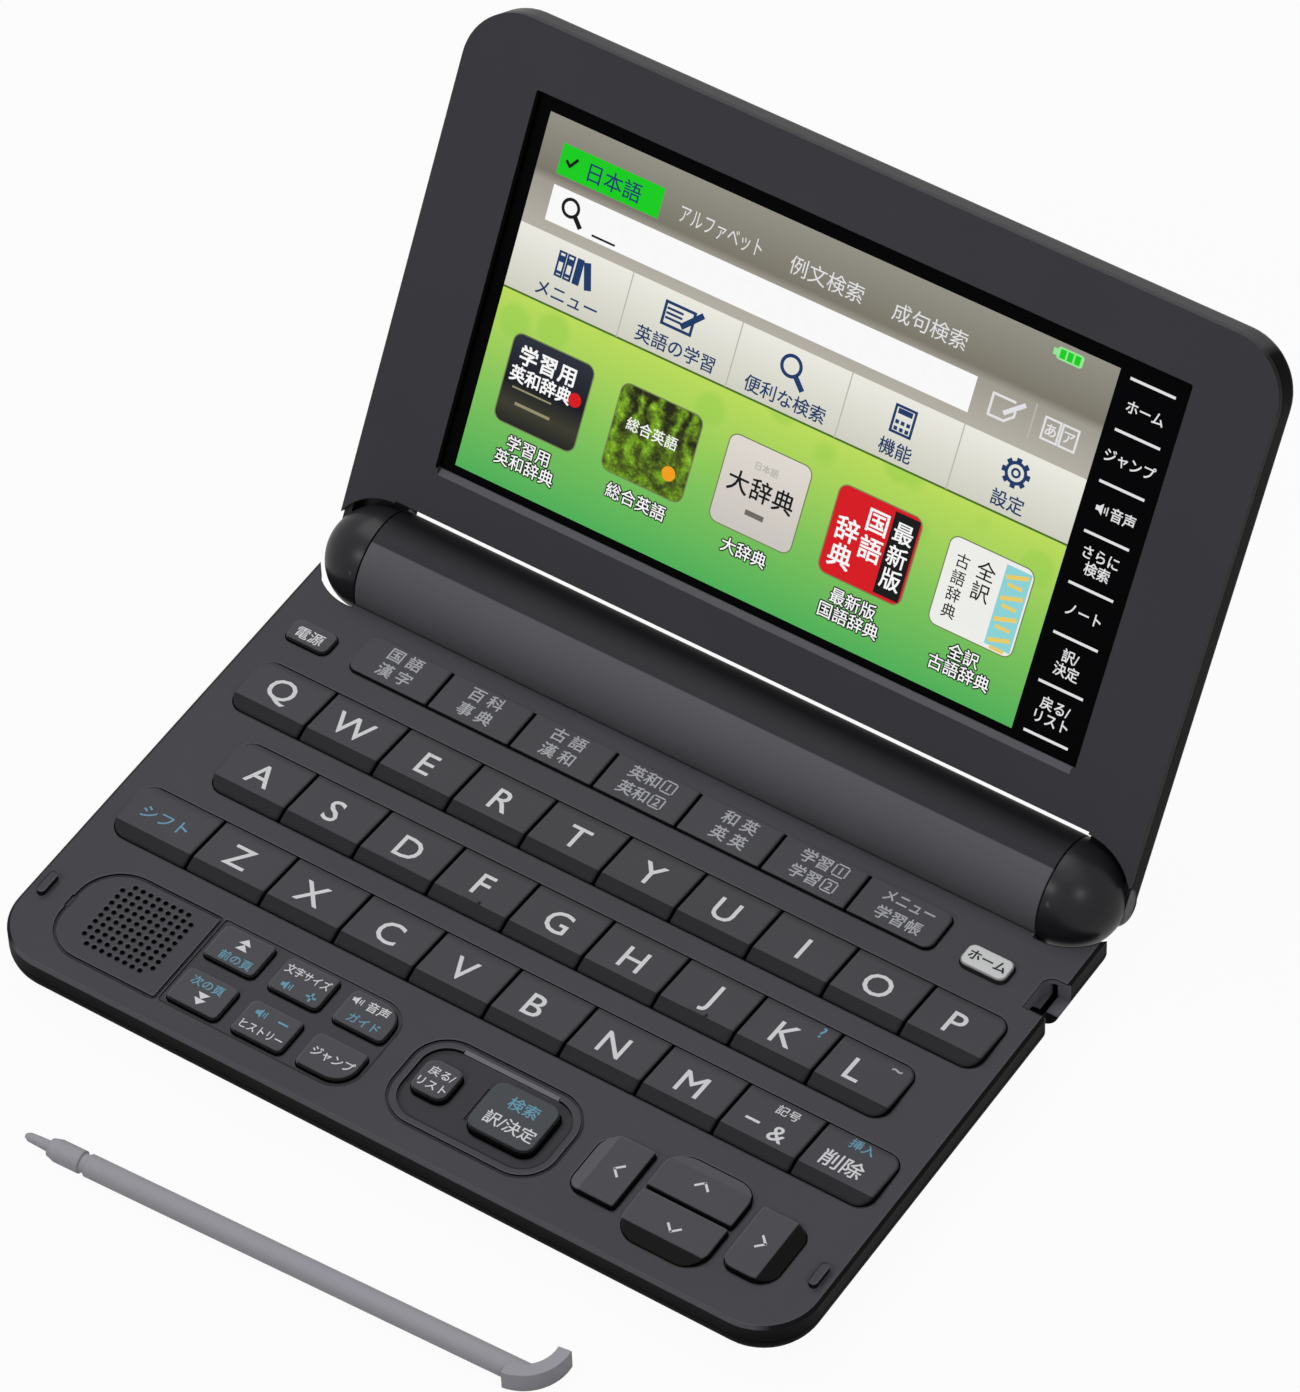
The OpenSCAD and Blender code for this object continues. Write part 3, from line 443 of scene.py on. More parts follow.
def cell_finish():
    """The cells' jackets: a plain silver wrap with a darker band at the positive end."""
    paint = Paint("cell_finish", Metallic=0.7)
    per_cell, band_start = 0.0198, 0.72
    band = (paint.spot()[0] * per_cell + 1.0).fraction() > band_start
    paint.set(Base_Color=paint.blend(band, shade(196, 198, 200), shade(60, 92, 70)),
              Roughness=paint.noise(500, 2.0, 0.5) * 0.1 + 0.3)
    return paint.material


def board_finish():
    """Green solder mask with traces that show as slightly paler lines."""
    paint = Paint("board_finish", Roughness=0.4)
    traces = paint.add("ShaderNodeTexBrick", {"offset": 0.37},
                       {"Vector": paint.place(), "Scale": 420.0, "Mortar Size": 0.06}, out=1)
    paint.set(Base_Color=paint.blend(traces, shade(20, 78, 46), shade(52, 122, 74)))
    return paint.material


def panel_finish():
    """The touch panel: black behind a clear, slightly soft surface."""
    paint = Paint("panel_finish", Specular_IOR_Level=0.02, Base_Color=shade(4, 3, 5))
    paint.set(Roughness=paint.noise(120, 3.0, 0.5) * 0.06 + 0.26)
    return paint.material


def module_finish():
    """The bare metal frame of the display module."""
    paint = Paint("module_finish", Metallic=0.6)
    grain = paint.noise(600, 3.0, 0.6)
    paint.set(Base_Color=paint.blend(grain, shade(120, 122, 124), shade(150, 152, 154)),
              Roughness=grain * 0.2 + 0.35)
    return paint.material


def finish_nodes():
    """Each solid of the frame gets its finish; the keys that aren't named here share one."""
    pin_steel = metal("pin_steel", (0.6, 0.6, 0.62, 1), 0.3)
    own = {
        "lower_case": case_plastic, "keyboard_deck": deck_plastic,
        "battery_barrel": barrel_finish(), "battery_cover": cover_plastic,
        "aa_cells": cell_finish(), "main_board": board_finish(),
        "key_membrane": rubber("sheet_rubber", shade(150, 152, 156)), "speaker": speaker_black,
        "hinge_pins": pin_steel, "rubber_feet": rubber("foot_rubber", shade(30, 30, 32)),
        "screws": pin_steel, "lid_cover": lid_plastic, "lid_bezel": bezel_plastic,
        "lcd_module": module_finish(), "touch_panel": panel_finish(), "stylus": stylus_plastic,
        "key_home": silver_cap, "key_enter": gloss_cap,
    }
    for name in ("power", "page_up", "page_down", "text_size", "history", "voice", "jump", "back",
                 "left", "right", "up", "down"):
        own["key_" + name] = small_cap
    for name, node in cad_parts.items():
        finish = own.get(name, cap_plastic)
        if not node.material_slots:
            node.data.materials.append(finish)
        for slot in node.material_slots:
            slot.material = finish


# ---- flat print and lettering ----

LID = Matrix((
    (1, 0, 0, 0),
    (0, -math.cos(LID_OPEN), -math.sin(LID_OPEN), HINGE_Y),
    (0, math.sin(LID_OPEN), -math.cos(LID_OPEN), HINGE_Z),
    (0, 0, 0, 1),
))
SHRINK = Matrix.Diagonal((MM, MM, MM, 1))
# Print stands this far off the surface that it is on, and each strike of it over the last
PROUD, STRIKE_LIFT = 0.015, 0.001
# The tops of the stepped keys: their height at the back edge, its chamfer and the slope
WEDGE_LOW, WEDGE_CHAMFER, WEDGE_SLOPE = 7.8, 0.15, 0.0955


def lay(mesh_data, name, matrix, body, material):
    """Give a mesh its place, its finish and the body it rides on."""
    mesh_data.transform(SHRINK @ matrix)
    mesh_data.materials.clear()
    mesh_data.materials.append(material)
    piece = bpy.data.objects.new(name, mesh_data)
    bpy.context.scene.collection.objects.link(piece)
    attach(piece, body)


class Print:
    """Flat shapes of one ink, drawn in millimetres in a plane."""

    def __init__(self):
        self.bm = bmesh.new()

    def plate(self, x, y, w, h, corner=0.0, turn=0.0):
        at = (Matrix.Translation((x, y, 0)) @ Matrix.Rotation(turn, 4, "Z")
              @ Matrix.Diagonal((w, h, 1, 1)))
        made = bmesh.ops.create_grid(self.bm, x_segments=1, y_segments=1, size=0.5, matrix=at)
        if corner:
            bmesh.ops.bevel(self.bm, geom=made["verts"], offset=corner, affect="VERTICES",
                            segments=5, profile=0.5, material=-1)
        return self

    def disc(self, x, y, r):
        bmesh.ops.create_circle(self.bm, cap_ends=True, radius=r, segments=24,
                                matrix=Matrix.Translation((x, y, 0)))
        return self

    def ring(self, x, y, outer, inner, segments=28):
        loops = []
        for r in (outer, inner):
            made = bmesh.ops.create_circle(self.bm, radius=r, segments=segments,
                                           matrix=Matrix.Translation((x, y, 0)))
            loops += {e for v in made["verts"] for e in v.link_edges}
        bmesh.ops.bridge_loops(self.bm, edges=loops)
        return self

    def stroke(self, points, width):
        """A line through some points. Its parts overlap, so that the bends are filled."""
        for (x0, y0), (x1, y1) in zip(points, points[1:]):
            length = math.hypot(x1 - x0, y1 - y0) + width * 0.6
            self.plate((x0 + x1) / 2, (y0 + y1) / 2, length, width, 0, math.atan2(y1 - y0, x1 - x0))
        return self

    def frame(self, x, y, w, h, width):
        for side in (-1, 1):
            self.plate(x + side * (w - width) / 2, y, width, h)
            self.plate(x, y + side * (h - width) / 2, w, width)
        return self

    def wedge(self, points):
        self.bm.faces.new([self.bm.verts.new((x, y, 0)) for x, y in points])
        return self

    def lay(self, name, matrix, body, slot, material):
        bmesh.ops.recalc_face_normals(self.bm, faces=self.bm.faces)
        for face in self.bm.faces:
            face.normal_update()
            if face.normal.z < 0:
                face.normal_flip()
        data = bpy.data.meshes.new(name)
        self.bm.to_mesh(data)
        self.bm.free()
        lay(data, name, matrix, body, material)


def strike_bolder(data, reach, times):
    """The same letters struck again around their own place, each time a hair higher."""
    bm = bmesh.new()
    for k in range(times):
        turn = 2 * math.pi * (k + 0.5) / times
        aside = (reach * math.cos(turn), reach * math.sin(turn), k * STRIKE_LIFT)
        copy = data.copy()
        copy.transform(Matrix.Translation(aside))
        bm.from_mesh(copy)
        bpy.data.meshes.remove(copy)
    bm.to_mesh(data)
    bm.free()


def letters(name, text, size, x, y, matrix, body, slot, material, bold=0.0, narrow=1.0,
            spread=1.0, strikes=4):
    """A line of words centred at a point. size is the height of the em in millimetres, and bold
    how far each strike stands aside, in ems."""
    curve = bpy.data.curves.new(name, "FONT")
    curve.body = text
    curve.size = 1
    curve.resolution_u = 3
    curve.align_x = "CENTER"
    curve.space_character = spread
    maker = bpy.data.objects.new(name + "_maker", curve)
    bpy.context.scene.collection.objects.link(maker)
    bpy.context.view_layer.update()
    shaped = maker.evaluated_get(bpy.context.evaluated_depsgraph_get())
    data = bpy.data.meshes.new_from_object(shaped)
    bpy.data.objects.remove(maker)
    bpy.data.curves.remove(curve)
    data.name = name
    if bold:
        strike_bolder(data, bold, strikes)
    xs = [v.co.x for v in data.vertices]
    ys = [v.co.y for v in data.vertices]
    centre = Matrix.Translation((-(max(xs) + min(xs)) / 2, -(max(ys) + min(ys)) / 2, 0))
    place = Matrix.Translation((x, y, 0)) @ Matrix.Diagonal((size * narrow, size, 1, 1)) @ centre
    lay(data, name, matrix @ place, body, material)


def at_height(z):
    return Matrix.Translation((0, 0, z + PROUD))


def on_slope(back):
    """The top of a stepped key, which rises from its back edge to the front."""
    edge = back - WEDGE_CHAMFER
    return (Matrix.Translation((0, edge, WEDGE_LOW + PROUD))
            @ Matrix.Rotation(-math.atan(WEDGE_SLOPE), 4, "X") @ Matrix.Translation((0, -edge, 0)))


# ---- legends on the keys ----

# The tops that the legends lie on: of the three stepped rows by their back edges, and of the
# flat keys by their heights
UPPER_ROW, MIDDLE_ROW, LOWER_ROW = on_slope(17.75), on_slope(2.15), on_slope(-13.45)
STRIP, SMALL_KEYS, ENTER_KEY = at_height(8.2), at_height(8.1), at_height(8.5)
HOME_KEY, ARROW_KEYS = at_height(8.6), at_height(8.65)


def legend(node, part, text, size, x, y, matrix, ink=ink_white, **more):
    letters("legend_" + node + part, text, size, x, y, matrix, "cap_" + node, "key_plastic", ink,
            **more)


def sign(node, part, drawn, matrix, ink=ink_white):
    drawn.lay("sign_" + node + part, matrix, "cap_" + node, "key_plastic", ink)


def speaker_sign(x, y, size):
    """A small loudspeaker with two bars of sound beside it."""
    drawn = Print()
    drawn.plate(x - size * 0.32, y, size * 0.28, size * 0.36)
    drawn.wedge([(x + size * a, y + size * b)
                 for a, b in ((-0.2, -0.18), (0.08, -0.45), (0.08, 0.45), (-0.2, 0.18))])
    for a, height in ((0.26, 0.42), (0.46, 0.66)):
        drawn.plate(x + size * a, y, size * 0.09, size * height)
    return drawn


def double_arrow(x, y, size, way):
    """Two arrowheads one over the other, which point up or down."""
    drawn = Print()
    for lift in (-0.25, 0.25):
        drawn.wedge([(x + size * a, y + way * size * (lift + b))
                     for a, b in ((-0.45, -0.25), (0.45, -0.25), (0.0, 0.25))])
    return drawn


def print_letter_keys():
    """A letter on each stepped key, and the other signs of the last ones in the rows."""
    rows = (
        ("qwertyuiop", (-62.9, -49.1, -34.7, -20.4, -6.5, 7.4, 21.3, 35.6, 49.2, 63.3), 12.65,
         UPPER_ROW),
        ("asdfghjkl", (-55.5, -41.7, -27.3, -13.4, 0.6, 14.6, 28.8, 42.4, 55.2), -3.1, MIDDLE_ROW),
        ("zxcvbnm", (-48.8, -35.0, -20.4, -6.7, 6.8, 21.2, 35.5), -18.7, LOWER_ROW),
    )
    for row, places, y, top in rows:
        for letter, x in zip(row, places):
            legend(letter, "", letter.upper(), 6.7, x, y, top, bold=0.006, narrow=0.97)
    legend("k", "_mark", "?", 3.2, 46.9, 0.5, MIDDLE_ROW, ink_blue, bold=0.01)
    legend("l", "_mark", "~", 3.2, 60.5, 0.3, MIDDLE_ROW, ink_grey, bold=0.02)
    legend("shift", "", "シフト", 3.1, -63.1, -18.7, LOWER_ROW, ink_blue, bold=0.01)
    sign("symbol", "_dash", Print().plate(47.0, -19.5, 2.5, 0.5), LOWER_ROW)
    legend("symbol", "_and", "&", 4.6, 51.8, -20.0, LOWER_ROW, bold=0.01)
    legend("symbol", "_small", "記号", 2.1, 50.9, -15.4, LOWER_ROW, bold=0.012)
    legend("delete", "", "削除", 3.7, 63.1, -19.5, LOWER_ROW, bold=0.014)
    legend("delete", "_small", "挿入", 2.2, 63.9, -14.9, LOWER_ROW, ink_blue, bold=0.012)


def print_strip():
    """Two lines on each shortcut key, the last figures in a small frame."""
    keys = ((-49.8, ("国語", "漢字")), (-34.3, ("百科", "事典")), (-18.6, ("古語", "漢和")),
            (-2.7, ("英和1", "英和2")), (13.6, ("和英", "英英")), (29.3, ("学習1", "学習2")),
            (44.9, ("メニュー", "学習帳")))
    middle, pitch = 27.1, 3.5
    for i, (x, lines) in enumerate(keys):
        for j, word in enumerate(lines):
            name = "legend_shortcut_%d_%d" % (i + 1, j + 1)
            y = middle + (0.5 - j) * pitch

            def strip_word(part, text, size, dx, **more):
                letters(name + part, text, size, x + dx, y, STRIP, "shortcut_strip", "key_plastic",
                        ink_grey, bold=0.016, **more)

            if word[-1] in "12":
                strip_word("", word[:-1], 2.85, -1.6)
                strip_word("_figure", word[-1], 2.2, 2.85)
                Print().frame(x + 2.85, y, 2.5, 2.6, 0.25).lay(
                    name + "_frame", STRIP, "shortcut_strip", "key_plastic", ink_grey)
            elif len(word) == 2:
                strip_word("", word, 2.9, 0, spread=1.45)
            else:
                strip_word("", word, 2.8, 0, narrow=0.85 if len(word) > 3 else 1.0)


def print_small_keys():
    """The flat keys: power and home, the six in the pocket, back, enter and the arrows."""
    small = {"bold": 0.014}
    legend("power", "", "電源", 2.6, -65.8, 24.9, STRIP, bold=0.012)
    legend("home", "", "ホーム", 2.3, 61.1, 25.5, HOME_KEY, ink_dark, bold=0.03)

    sign("page_up", "_up", double_arrow(-38.1, -32.5, 2.4, 1), SMALL_KEYS)
    legend("page_up", "_low", "前の頁", 2.0, -37.6, -35.7, SMALL_KEYS, ink_blue, **small)
    legend("page_down", "_top", "次の頁", 2.0, -38.3, -42.1, SMALL_KEYS, ink_blue, **small)
    sign("page_down", "_down", double_arrow(-37.8, -44.9, 2.4, -1), SMALL_KEYS)
    legend("text_size", "_top", "文字サイズ", 2.0, -26.1, -32.5, SMALL_KEYS, narrow=0.82, **small)
    sign("text_size", "_sound", speaker_sign(-28.1, -35.6, 2.0), SMALL_KEYS, ink_blue)
    plus = Print().plate(-23.5, -35.6, 1.8, 0.36).plate(-23.5, -35.6, 0.36, 1.8)
    sign("text_size", "_more", plus, SMALL_KEYS, ink_blue)
    sign("history", "_sound", speaker_sign(-28.2, -42.2, 2.0), SMALL_KEYS, ink_blue)
    sign("history", "_less", Print().plate(-24.1, -42.2, 1.8, 0.36), SMALL_KEYS, ink_blue)
    legend("history", "_low", "ヒストリー", 2.0, -26.1, -45.2, SMALL_KEYS, narrow=0.82, **small)
    sign("voice", "_sound", speaker_sign(-17.0, -32.2, 1.9), SMALL_KEYS)
    legend("voice", "_top", "音声", 2.1, -13.2, -32.2, SMALL_KEYS, **small)
    legend("voice", "_low", "ガイド", 2.0, -13.8, -35.4, SMALL_KEYS, ink_blue, **small)
    legend("jump", "", "ジャンプ", 2.1, -13.8, -43.7, SMALL_KEYS, narrow=0.92, **small)
    legend("back", "_top", "戻る/", 1.95, 2.1, -37.2, SMALL_KEYS, **small)
    legend("back", "_low", "リスト", 1.95, 1.9, -39.8, SMALL_KEYS, **small)
    legend("enter", "_blue", "検索", 2.7, 16.5, -36.3, ENTER_KEY, ink_blue, bold=0.012)
    legend("enter", "", "訳/決定", 2.8, 16.6, -40.3, ENTER_KEY, bold=0.012)

    size, line = 1.15, 0.4
    arrows = {"left": (35.1, -38.6, math.pi), "right": (61.0, -38.5, 0.0),
              "up": (47.7, -34.2, math.pi / 2), "down": (48.2, -43.5, -math.pi / 2)}
    for node, (x, y, turn) in arrows.items():
        tip = [(x + size * (math.cos(turn) * a - math.sin(turn) * b),
                y + size * (math.sin(turn) * a + math.cos(turn) * b))
               for a, b in ((-0.5, 1), (0.5, 0), (-0.5, -1))]
        sign(node, "", Print().stroke(tip, line), ARROW_KEYS)


# ---- the display: across the lid, and along it from the hinge ----

# The picture's sides, and from its foot up the edges of the meadow, the tools and the title bar
LEFT, RIGHT = -57.0, 47.2
FOOT, MEADOW_TOP, TOOLS_TOP, HEAD = 20.3, 52.0, 63.2, 82.1
MID, SPAN = (LEFT + RIGHT) / 2, RIGHT - LEFT
# The five tiles: their middles across and along the lid, their size and their round corners
TILES = (-45.2, -24.8, -4.5, 15.8, 36.1)
TILE_L, TILE_SIZE, TILE_CORNER = 38.2, 15.0, 1.5
# Each layer of the picture lies a little over the one before
FIRST_LAYER, LAYER = 0.02, 0.012

WHITE = glowing("lit_white", shade(250, 250, 250))
NAVY = glowing("lit_navy", shade(30, 58, 104))
COAL = glowing("lit_black", shade(20, 22, 24))
GREY = glowing("lit_grey", shade(186, 184, 172))
LEAF = glowing("lit_leaf", shade(22, 205, 30))
LABEL = glowing("lit_label", shade(226, 226, 228))
RED = glowing("lit_red", shade(214, 24, 34))


def on_screen(layer):
    return LID @ Matrix.Translation((0, 0, SCREEN_FACE + FIRST_LAYER + LAYER * layer))


def screen_print(name, drawn, layer, material):
    drawn.lay("screen_" + name, on_screen(layer), "lid", "display", material)


def screen_words(name, text, size, x, y, layer, material, **more):
    letters("screen_" + name, text, size, x, y, on_screen(layer), "lid", "display", material,
            **more)


def screen_column(name, text, size, x, y, layer, material, pitch=1.0, **more):
    """Words set one letter under the other."""
    for i, letter in enumerate(text):
        down = ((len(text) - 1) / 2 - i) * size * pitch
        screen_words("%s_%d" % (name, i + 1), letter, size, x, y + down, layer, material, **more)


def screen_grounds():
    """The three fields of the picture: title bar, tool bar and meadow."""
    def field(name, low, high, stops, blobs=None):
        look = lit_fade("lit_" + name, low, high, [(at, shade(*rgb)) for at, rgb in stops], blobs)
        screen_print(name, Print().plate(MID, (low + high) / 2, SPAN, high - low), 0, look)

    field("bar", TOOLS_TOP, HEAD, [(0.0, (178, 174, 164)), (0.42, (158, 154, 144)),
                                   (0.5, (122, 118, 106)), (1.0, (146, 143, 132))])
    field("tools", MEADOW_TOP, TOOLS_TOP, [(0.0, (206, 205, 192)), (1.0, (234, 233, 224))])
    field("meadow", FOOT, MEADOW_TOP,
          [(0.0, (78, 174, 88)), (0.45, (126, 194, 90)), (1.0, (186, 218, 90))],
          shade(120, 196, 60))
    screen_print("tools_line", Print().plate(MID, MEADOW_TOP, SPAN, 0.35), 1,
                 glowing("lit_moss", shade(72, 110, 40)))


def screen_search():
    """Tabs, battery, search box and the two outline icons beside it."""
    screen_print("tab", Print().plate(-43.8, 75.6, 19.0, 5.2), 1, LEAF)
    tick = Print().stroke([(-52.0, 75.6), (-51.3, 74.9), (-50.2, 76.4)], 0.5)
    screen_print("tick", tick, 2, COAL)
    screen_words("tab_word", "日本語", 3.5, -43.0, 75.5, 2, NAVY, bold=0.008)
    tabs = (("アルファベット", -23.2, 0.66), ("例文検索", -3.7, 1.0),
            ("成句検索", 15.1, 1.0))
    for i, (text, x, narrow) in enumerate(tabs):
        screen_words("tab_%d" % (i + 2), text, 3.4, x, 75.5, 2, LABEL, narrow=narrow)
    battery = Print().plate(38.8, 80.3, 4.6, 2.1, 0.5).plate(36.2, 80.3, 0.8, 1.1)
    screen_print("battery", battery, 1, glowing("lit_pale_leaf", shade(150, 230, 150)))
    charge = Print()
    for i in range(3):
        charge.plate(37.5 + i * 1.3, 80.3, 1.0, 1.5)
    screen_print("charge", charge, 2, LEAF)
    screen_print("search_box", Print().plate(-14.0, 68.15, 78.2, 6.1), 1, WHITE)
    seeker = Print().ring(-49.2, 68.6, 1.7, 1.15).stroke([(-48.0, 67.4), (-46.9, 66.2)], 0.85)
    screen_print("seeker", seeker, 2, COAL)
    screen_print("cursor", Print().plate(-42.3, 65.9, 4.4, 0.36), 2, COAL)
    outline = Print().stroke([(32.3, 69.9), (28.4, 69.9), (28.4, 66.3), (31.2, 66.3),
                              (32.7, 67.6), (32.7, 68.4)], 0.42)
    outline.stroke([(31.0, 67.6), (33.9, 70.0)], 0.75)
    outline.frame(39.2, 68.1, 3.1, 3.9, 0.36).frame(42.4, 68.1, 3.1, 3.9, 0.36)
    screen_print("outline", outline, 1, LABEL)
    screen_print("outline_line", Print().plate(35.8, 68.2, 0.25, 6.0), 1, GREY)
    screen_words("kana_a", "あ", 2.3, 39.2, 68.1, 2, LABEL, bold=0.02)
    screen_words("kana_b", "ア", 2.3, 42.4, 68.1, 2, LABEL, bold=0.02)


def screen_tools():
    """Five tools with their icons: books, notebook, magnifier, calculator and wheel."""
    lines = Print()
    for x in (-35.7, -15.3, 4.9, 25.3):
        lines.plate(x, (MEADOW_TOP + TOOLS_TOP) / 2, 0.22, TOOLS_TOP - MEADOW_TOP)
    screen_print("tool_lines", lines, 1, GREY)

    books, notebook, magnifier, calculator, wheel = middles = (-45.8, -25.4, -5.0, 15.3, 35.7)
    level, words_level = 59.3, 54.4
    icons = Print()
    for x in (books - 2.55, books - 0.95):
        icons.frame(x, level, 1.5, 4.4, 0.36).plate(x, level + 0.9, 0.9, 1.1)
        icons.plate(x, level - 1.4, 0.9, 0.5)
    icons.plate(books + 0.75, level, 1.3, 4.4).plate(books + 2.55, level - 0.1, 1.3, 4.5, 0, 0.28)

    icons.frame(notebook - 0.8, level, 5.8, 4.2, 0.5)
    icons.stroke([(notebook + 0.2, level - 1.0), (notebook + 3.1, level + 1.9)], 1.0)
    for dy in (-0.7, 0.1, 0.9):
        icons.plate(notebook - 1.6, level + dy, 3.0, 0.4)

    icons.ring(magnifier - 0.4, level + 0.6, 2.0, 1.4)
    icons.stroke([(magnifier + 0.9, level - 0.9), (magnifier + 2.3, level - 2.4)], 0.95)

    icons.frame(calculator, level, 4.0, 4.8, 0.45).plate(calculator, level + 1.4, 2.6, 0.9)
    for dx in (-1, 0, 1):
        for dy in (-1.5, -0.4):
            icons.plate(calculator + dx, level + dy, 0.65, 0.65)

    icons.ring(wheel, level, 1.95, 1.4).ring(wheel, level, 0.85, 0.45, 16)
    teeth, tooth_reach = 8, 2.15
    for k in range(teeth):
        a = 2 * math.pi * k / teeth
        icons.plate(wheel + tooth_reach * math.cos(a), level + tooth_reach * math.sin(a),
                    0.7, 0.9, 0, a)
    screen_print("tool_icons", icons, 2, NAVY)
    words = ("メニュー", "英語の学習", "便利な検索", "機能", "設定")
    for i, (text, x) in enumerate(zip(words, middles)):
        screen_words("tool_%d" % (i + 1), text, 3.0, x, words_level, 2, NAVY, bold=0.014)


def forest_look():
    """A generic woodland: dark trunks above, bright leaves below and between them."""
    forest = lit_paint("lit_forest")
    trunks = forest.add("ShaderNodeTexWave", {"bands_direction": "X"},
                        {"Vector": forest.place(), "Scale": 95.0, "Distortion": 6.0, "Detail": 3.0,
                         "Detail Scale": 3.0})
    leaves = forest.noise(420, 4.0, 0.75)
    high = ((along_lid(forest) - TILE_L) / TILE_SIZE + 0.5).clamp()
    light = (trunks - 0.5) * 0.5 * high + leaves * 1.5 - 0.35 - (high - 0.4).clamp() * 0.25
    stops = [(0.1, shade(36, 38, 18)), (0.35, shade(74, 92, 26)), (0.6, shade(120, 170, 34)),
             (0.9, shade(206, 236, 96))]
    forest.set(Emission_Color=forest.ramp(light, stops))
    return forest.material


def screen_tiles():
    """Five books of a generic shelf, each with a plain cover."""
    rims, rim = Print(), 0.2
    # The first and third covers fade between a tile's foot and its head
    fade = 30, 46
    for x in TILES:
        rims.plate(x, TILE_L, TILE_SIZE + 2 * rim, TILE_SIZE + 2 * rim, TILE_CORNER + rim)
    screen_print("tile_rims", rims, 1, glowing("lit_rim", shade(116, 128, 84)))
    slate = lit_fade("lit_slate", *fade, [(0.0, shade(26, 28, 30)), (0.25, shade(58, 58, 46)),
                                          (0.5, shade(22, 24, 32)), (1.0, shade(44, 48, 60))])
    paper = lit_fade("lit_paper", *fade, [(0.0, shade(200, 194, 188)), (1.0, shade(222, 216, 208))])
    looks = (slate, forest_look(), paper, RED, glowing("lit_snow", shade(238, 238, 234)))
    for i, (x, look) in enumerate(zip(TILES, looks)):
        cover = Print().plate(x, TILE_L, TILE_SIZE, TILE_SIZE, TILE_CORNER)
        screen_print("tile_%d" % (i + 1), cover, 2, look)

    one, two, three, four, five = TILES
    screen_words("tile_1_word", "学習用", 3.5, one - 0.6, 42.6, 3, WHITE, bold=0.03, spread=1.12)
    screen_words("tile_1_word_2", "英和辞典", 2.9, one - 1.0, 39.2, 3, WHITE, bold=0.03)
    rules = Print().plate(one - 2.0, 36.9, 7.4, 0.3).plate(one - 1.2, 34.4, 6.6, 0.5)
    screen_print("tile_1_line", rules, 3, glowing("lit_dust", shade(150, 142, 110)))
    screen_print("tile_1_dot", Print().disc(one + 5.5, 39.2, 1.2), 4, RED)
    screen_words("tile_2_word", "総合英語", 2.4, two - 0.4, 39.6, 3, WHITE, bold=0.01)
    screen_print("tile_2_dot", Print().disc(two + 4.2, 34.6, 1.25), 3,
                 glowing("lit_seal", shade(240, 160, 30)))
    screen_words("tile_3_word", "大辞典", 4.0, three, 38.5, 3, COAL, bold=0.016, spread=1.08)
    screen_words("tile_3_top", "日本語", 1.5, three, 42.3, 3, GREY, bold=0.03)
    screen_print("tile_3_line", Print().plate(three, 34.3, 3.4, 0.9), 3,
                 glowing("lit_stone", shade(110, 104, 98)))
    side = Print().plate(four + 4.9, TILE_L, 4.6, TILE_SIZE - 1.0)
    screen_print("tile_4_side", side, 3, COAL)
    screen_column("tile_4_left", "辞典", 4.3, four - 4.4, 36.6, 4, WHITE, 1.06, bold=0.02)
    screen_column("tile_4_right", "国語", 4.3, four + 0.2, 39.8, 4, WHITE, 1.06, bold=0.02)
    screen_column("tile_4_edge", "最新版", 3.7, four + 4.9, 38.2, 4, WHITE, 1.06, bold=0.016)
    screen_print("tile_5_side", Print().plate(five + 4.9, TILE_L, 4.6, TILE_SIZE - 1.4), 3,
                 glowing("lit_teal", shade(140, 210, 214)))
    patch, pitch = Print(), 3.6
    for k in range(4):
        patch.plate(five + 4.9, 43.6 - k * pitch, 3.9, 0.7, 0, 0.3)
        patch.plate(five + 4.9, 42.0 - k * pitch, 2.6, 0.6)
    screen_print("tile_5_patch", patch, 4, glowing("lit_sand", shade(232, 204, 104)))
    screen_column("tile_5_left", "古語辞典", 2.6, five - 4.6, 38.0, 3, COAL, 1.1, bold=0.008)
    screen_column("tile_5_right", "全訳", 3.4, five - 0.4, 40.6, 3, COAL, 1.06, bold=0.008)

    names = (("学習用", "英和辞典"), ("総合英語",), ("大辞典",), ("最新版", "国語辞典"),
             ("全訳", "古語辞典"))
    size, highest, pitch = 2.8, 27.9, 2.9
    for i, (x, lines) in enumerate(zip(TILES, names)):
        for j, text in enumerate(lines):
            name, y = "name_%d_%d" % (i + 1, j + 1), highest - j * pitch
            screen_words(name + "_edge", text, size, x, y, 3, COAL, bold=0.09, strikes=8)
            screen_words(name, text, size, x, y, 5, WHITE, bold=0.01)


def screen_side():
    """The column of touch labels beside the picture."""
    middle, beside_sign = 53.15, 54.7
    marks = Print()
    for y in (81.3, 72.7, 64.0, 55.5, 46.7, 38.1, 29.7, 21.1):
        marks.plate(middle, y, 8.0, 0.46)
    screen_print("side_marks", marks, 1, LABEL)
    labels = (("ホーム",), ("ジャンプ",), ("音声",), ("さらに", "検索"), ("ノート",),
              ("訳/", "決定"), ("戻る/", "リスト"))
    highest, pitch, line_pitch = 77.0, 8.6, 2.5
    for i, lines in enumerate(labels):
        for j, text in enumerate(lines):
            x = beside_sign if text == "音声" else middle
            y = highest - i * pitch + ((len(lines) - 1) / 2 - j) * line_pitch
            screen_words("side_%d_%d" % (i + 1, j + 1), text, 2.4, x, y, 1, LABEL, bold=0.016,
                         narrow=0.95)
    screen_print("side_sound", speaker_sign(50.9, 59.8, 2.2), 1, LABEL)


# ---- studio ----

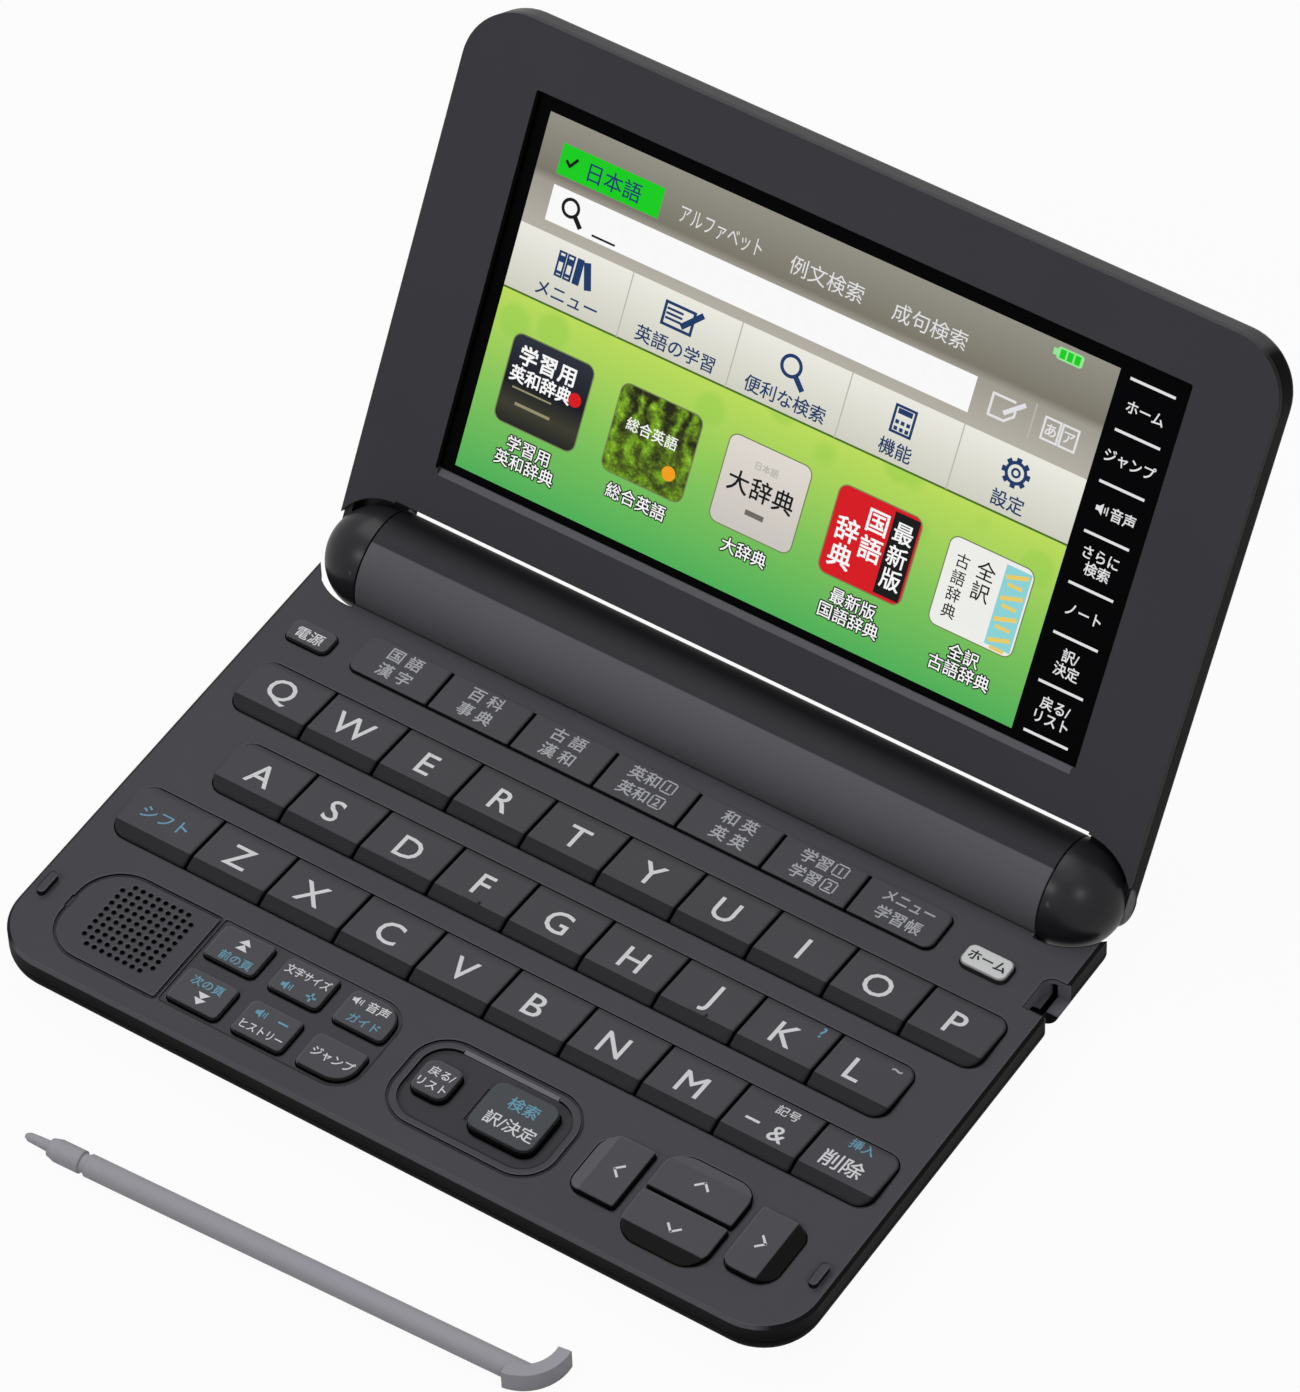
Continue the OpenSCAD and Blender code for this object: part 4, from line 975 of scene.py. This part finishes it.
# White for the rays that see the backdrop, and a soft grey for the light on the object
WHITE_SKY, SOFT_SKY = 1.0, 0.16
FLOOR_HALF, FLOOR_DROP = 3, 0.0006
# Of the floor's white, the share that it shows whatever the light: the rest keeps the shadow
FLOOR_GLOW = 0.95


def build_studio():
    """A white backdrop and floor, and four soft lamps: name, place, size and power."""
    scene = bpy.context.scene
    scene.view_settings.view_transform = "Standard"
    world = bpy.data.worlds.new("studio")
    world.use_nodes = True
    scene.world = world
    sky = Nodes(world.node_tree)
    soft = sky.add("ShaderNodeBackground", {}, {0: (1, 1, 1, 1), 1: SOFT_SKY})
    white = sky.add("ShaderNodeBackground", {}, {0: (1, 1, 1, 1), 1: WHITE_SKY})
    both = sky.add("ShaderNodeMixShader", {}, {0: sky.seen_rays(), 1: soft, 2: white})
    sky.feed(sky.tree.nodes["World Output"].inputs[0], both)

    bm = bmesh.new()
    bmesh.ops.create_grid(bm, x_segments=1, y_segments=1, size=FLOOR_HALF)
    data = bpy.data.meshes.new("floor")
    bm.to_mesh(data)
    bm.free()
    data.transform(Matrix.Translation((0, 0, -FLOOR_DROP)))
    floor = bpy.data.objects.new("floor", data)
    scene.collection.objects.link(floor)
    paint = Paint("floor_paint", Base_Color=(0.6, 0.6, 0.6, 1), Roughness=0.9,
                  Specular_IOR_Level=0.1)
    glow = paint.add("ShaderNodeEmission", {}, {1: 1.0})
    lit = Wire(paint, paint.shader.outputs[0])
    mix = paint.add("ShaderNodeMixShader", {}, {0: paint.seen_rays() * FLOOR_GLOW, 1: lit, 2: glow})
    paint.feed(paint.tree.nodes["Material Output"].inputs[0], mix)
    data.materials.append(paint.material)

    for name, place, size, power in (
        ("key_light", (-0.8, 0.45, 1.3), 1.0, 8.6),
        ("front_fill", (-0.6, -1.1, 1.1), 0.4, 5.4),
        ("top_light", (-0.1, 0.1, 1.9), 1.4, 5.6),
        ("right_glint", (1.0, -0.6, 1.1), 0.3, 3.2),
    ):
        lamp = bpy.data.lights.new(name, "AREA")
        lamp.size = size
        lamp.energy = power
        light = bpy.data.objects.new(name, lamp)
        scene.collection.objects.link(light)
        light.location = place
        to_middle = -Vector(place)
        light.rotation_euler = to_middle.to_track_quat("-Z", "Y").to_euler()


aim_camera()
finish_nodes()
print_letter_keys()
print_strip()
print_small_keys()
screen_grounds()
screen_search()
screen_tools()
screen_tiles()
screen_side()
build_studio()
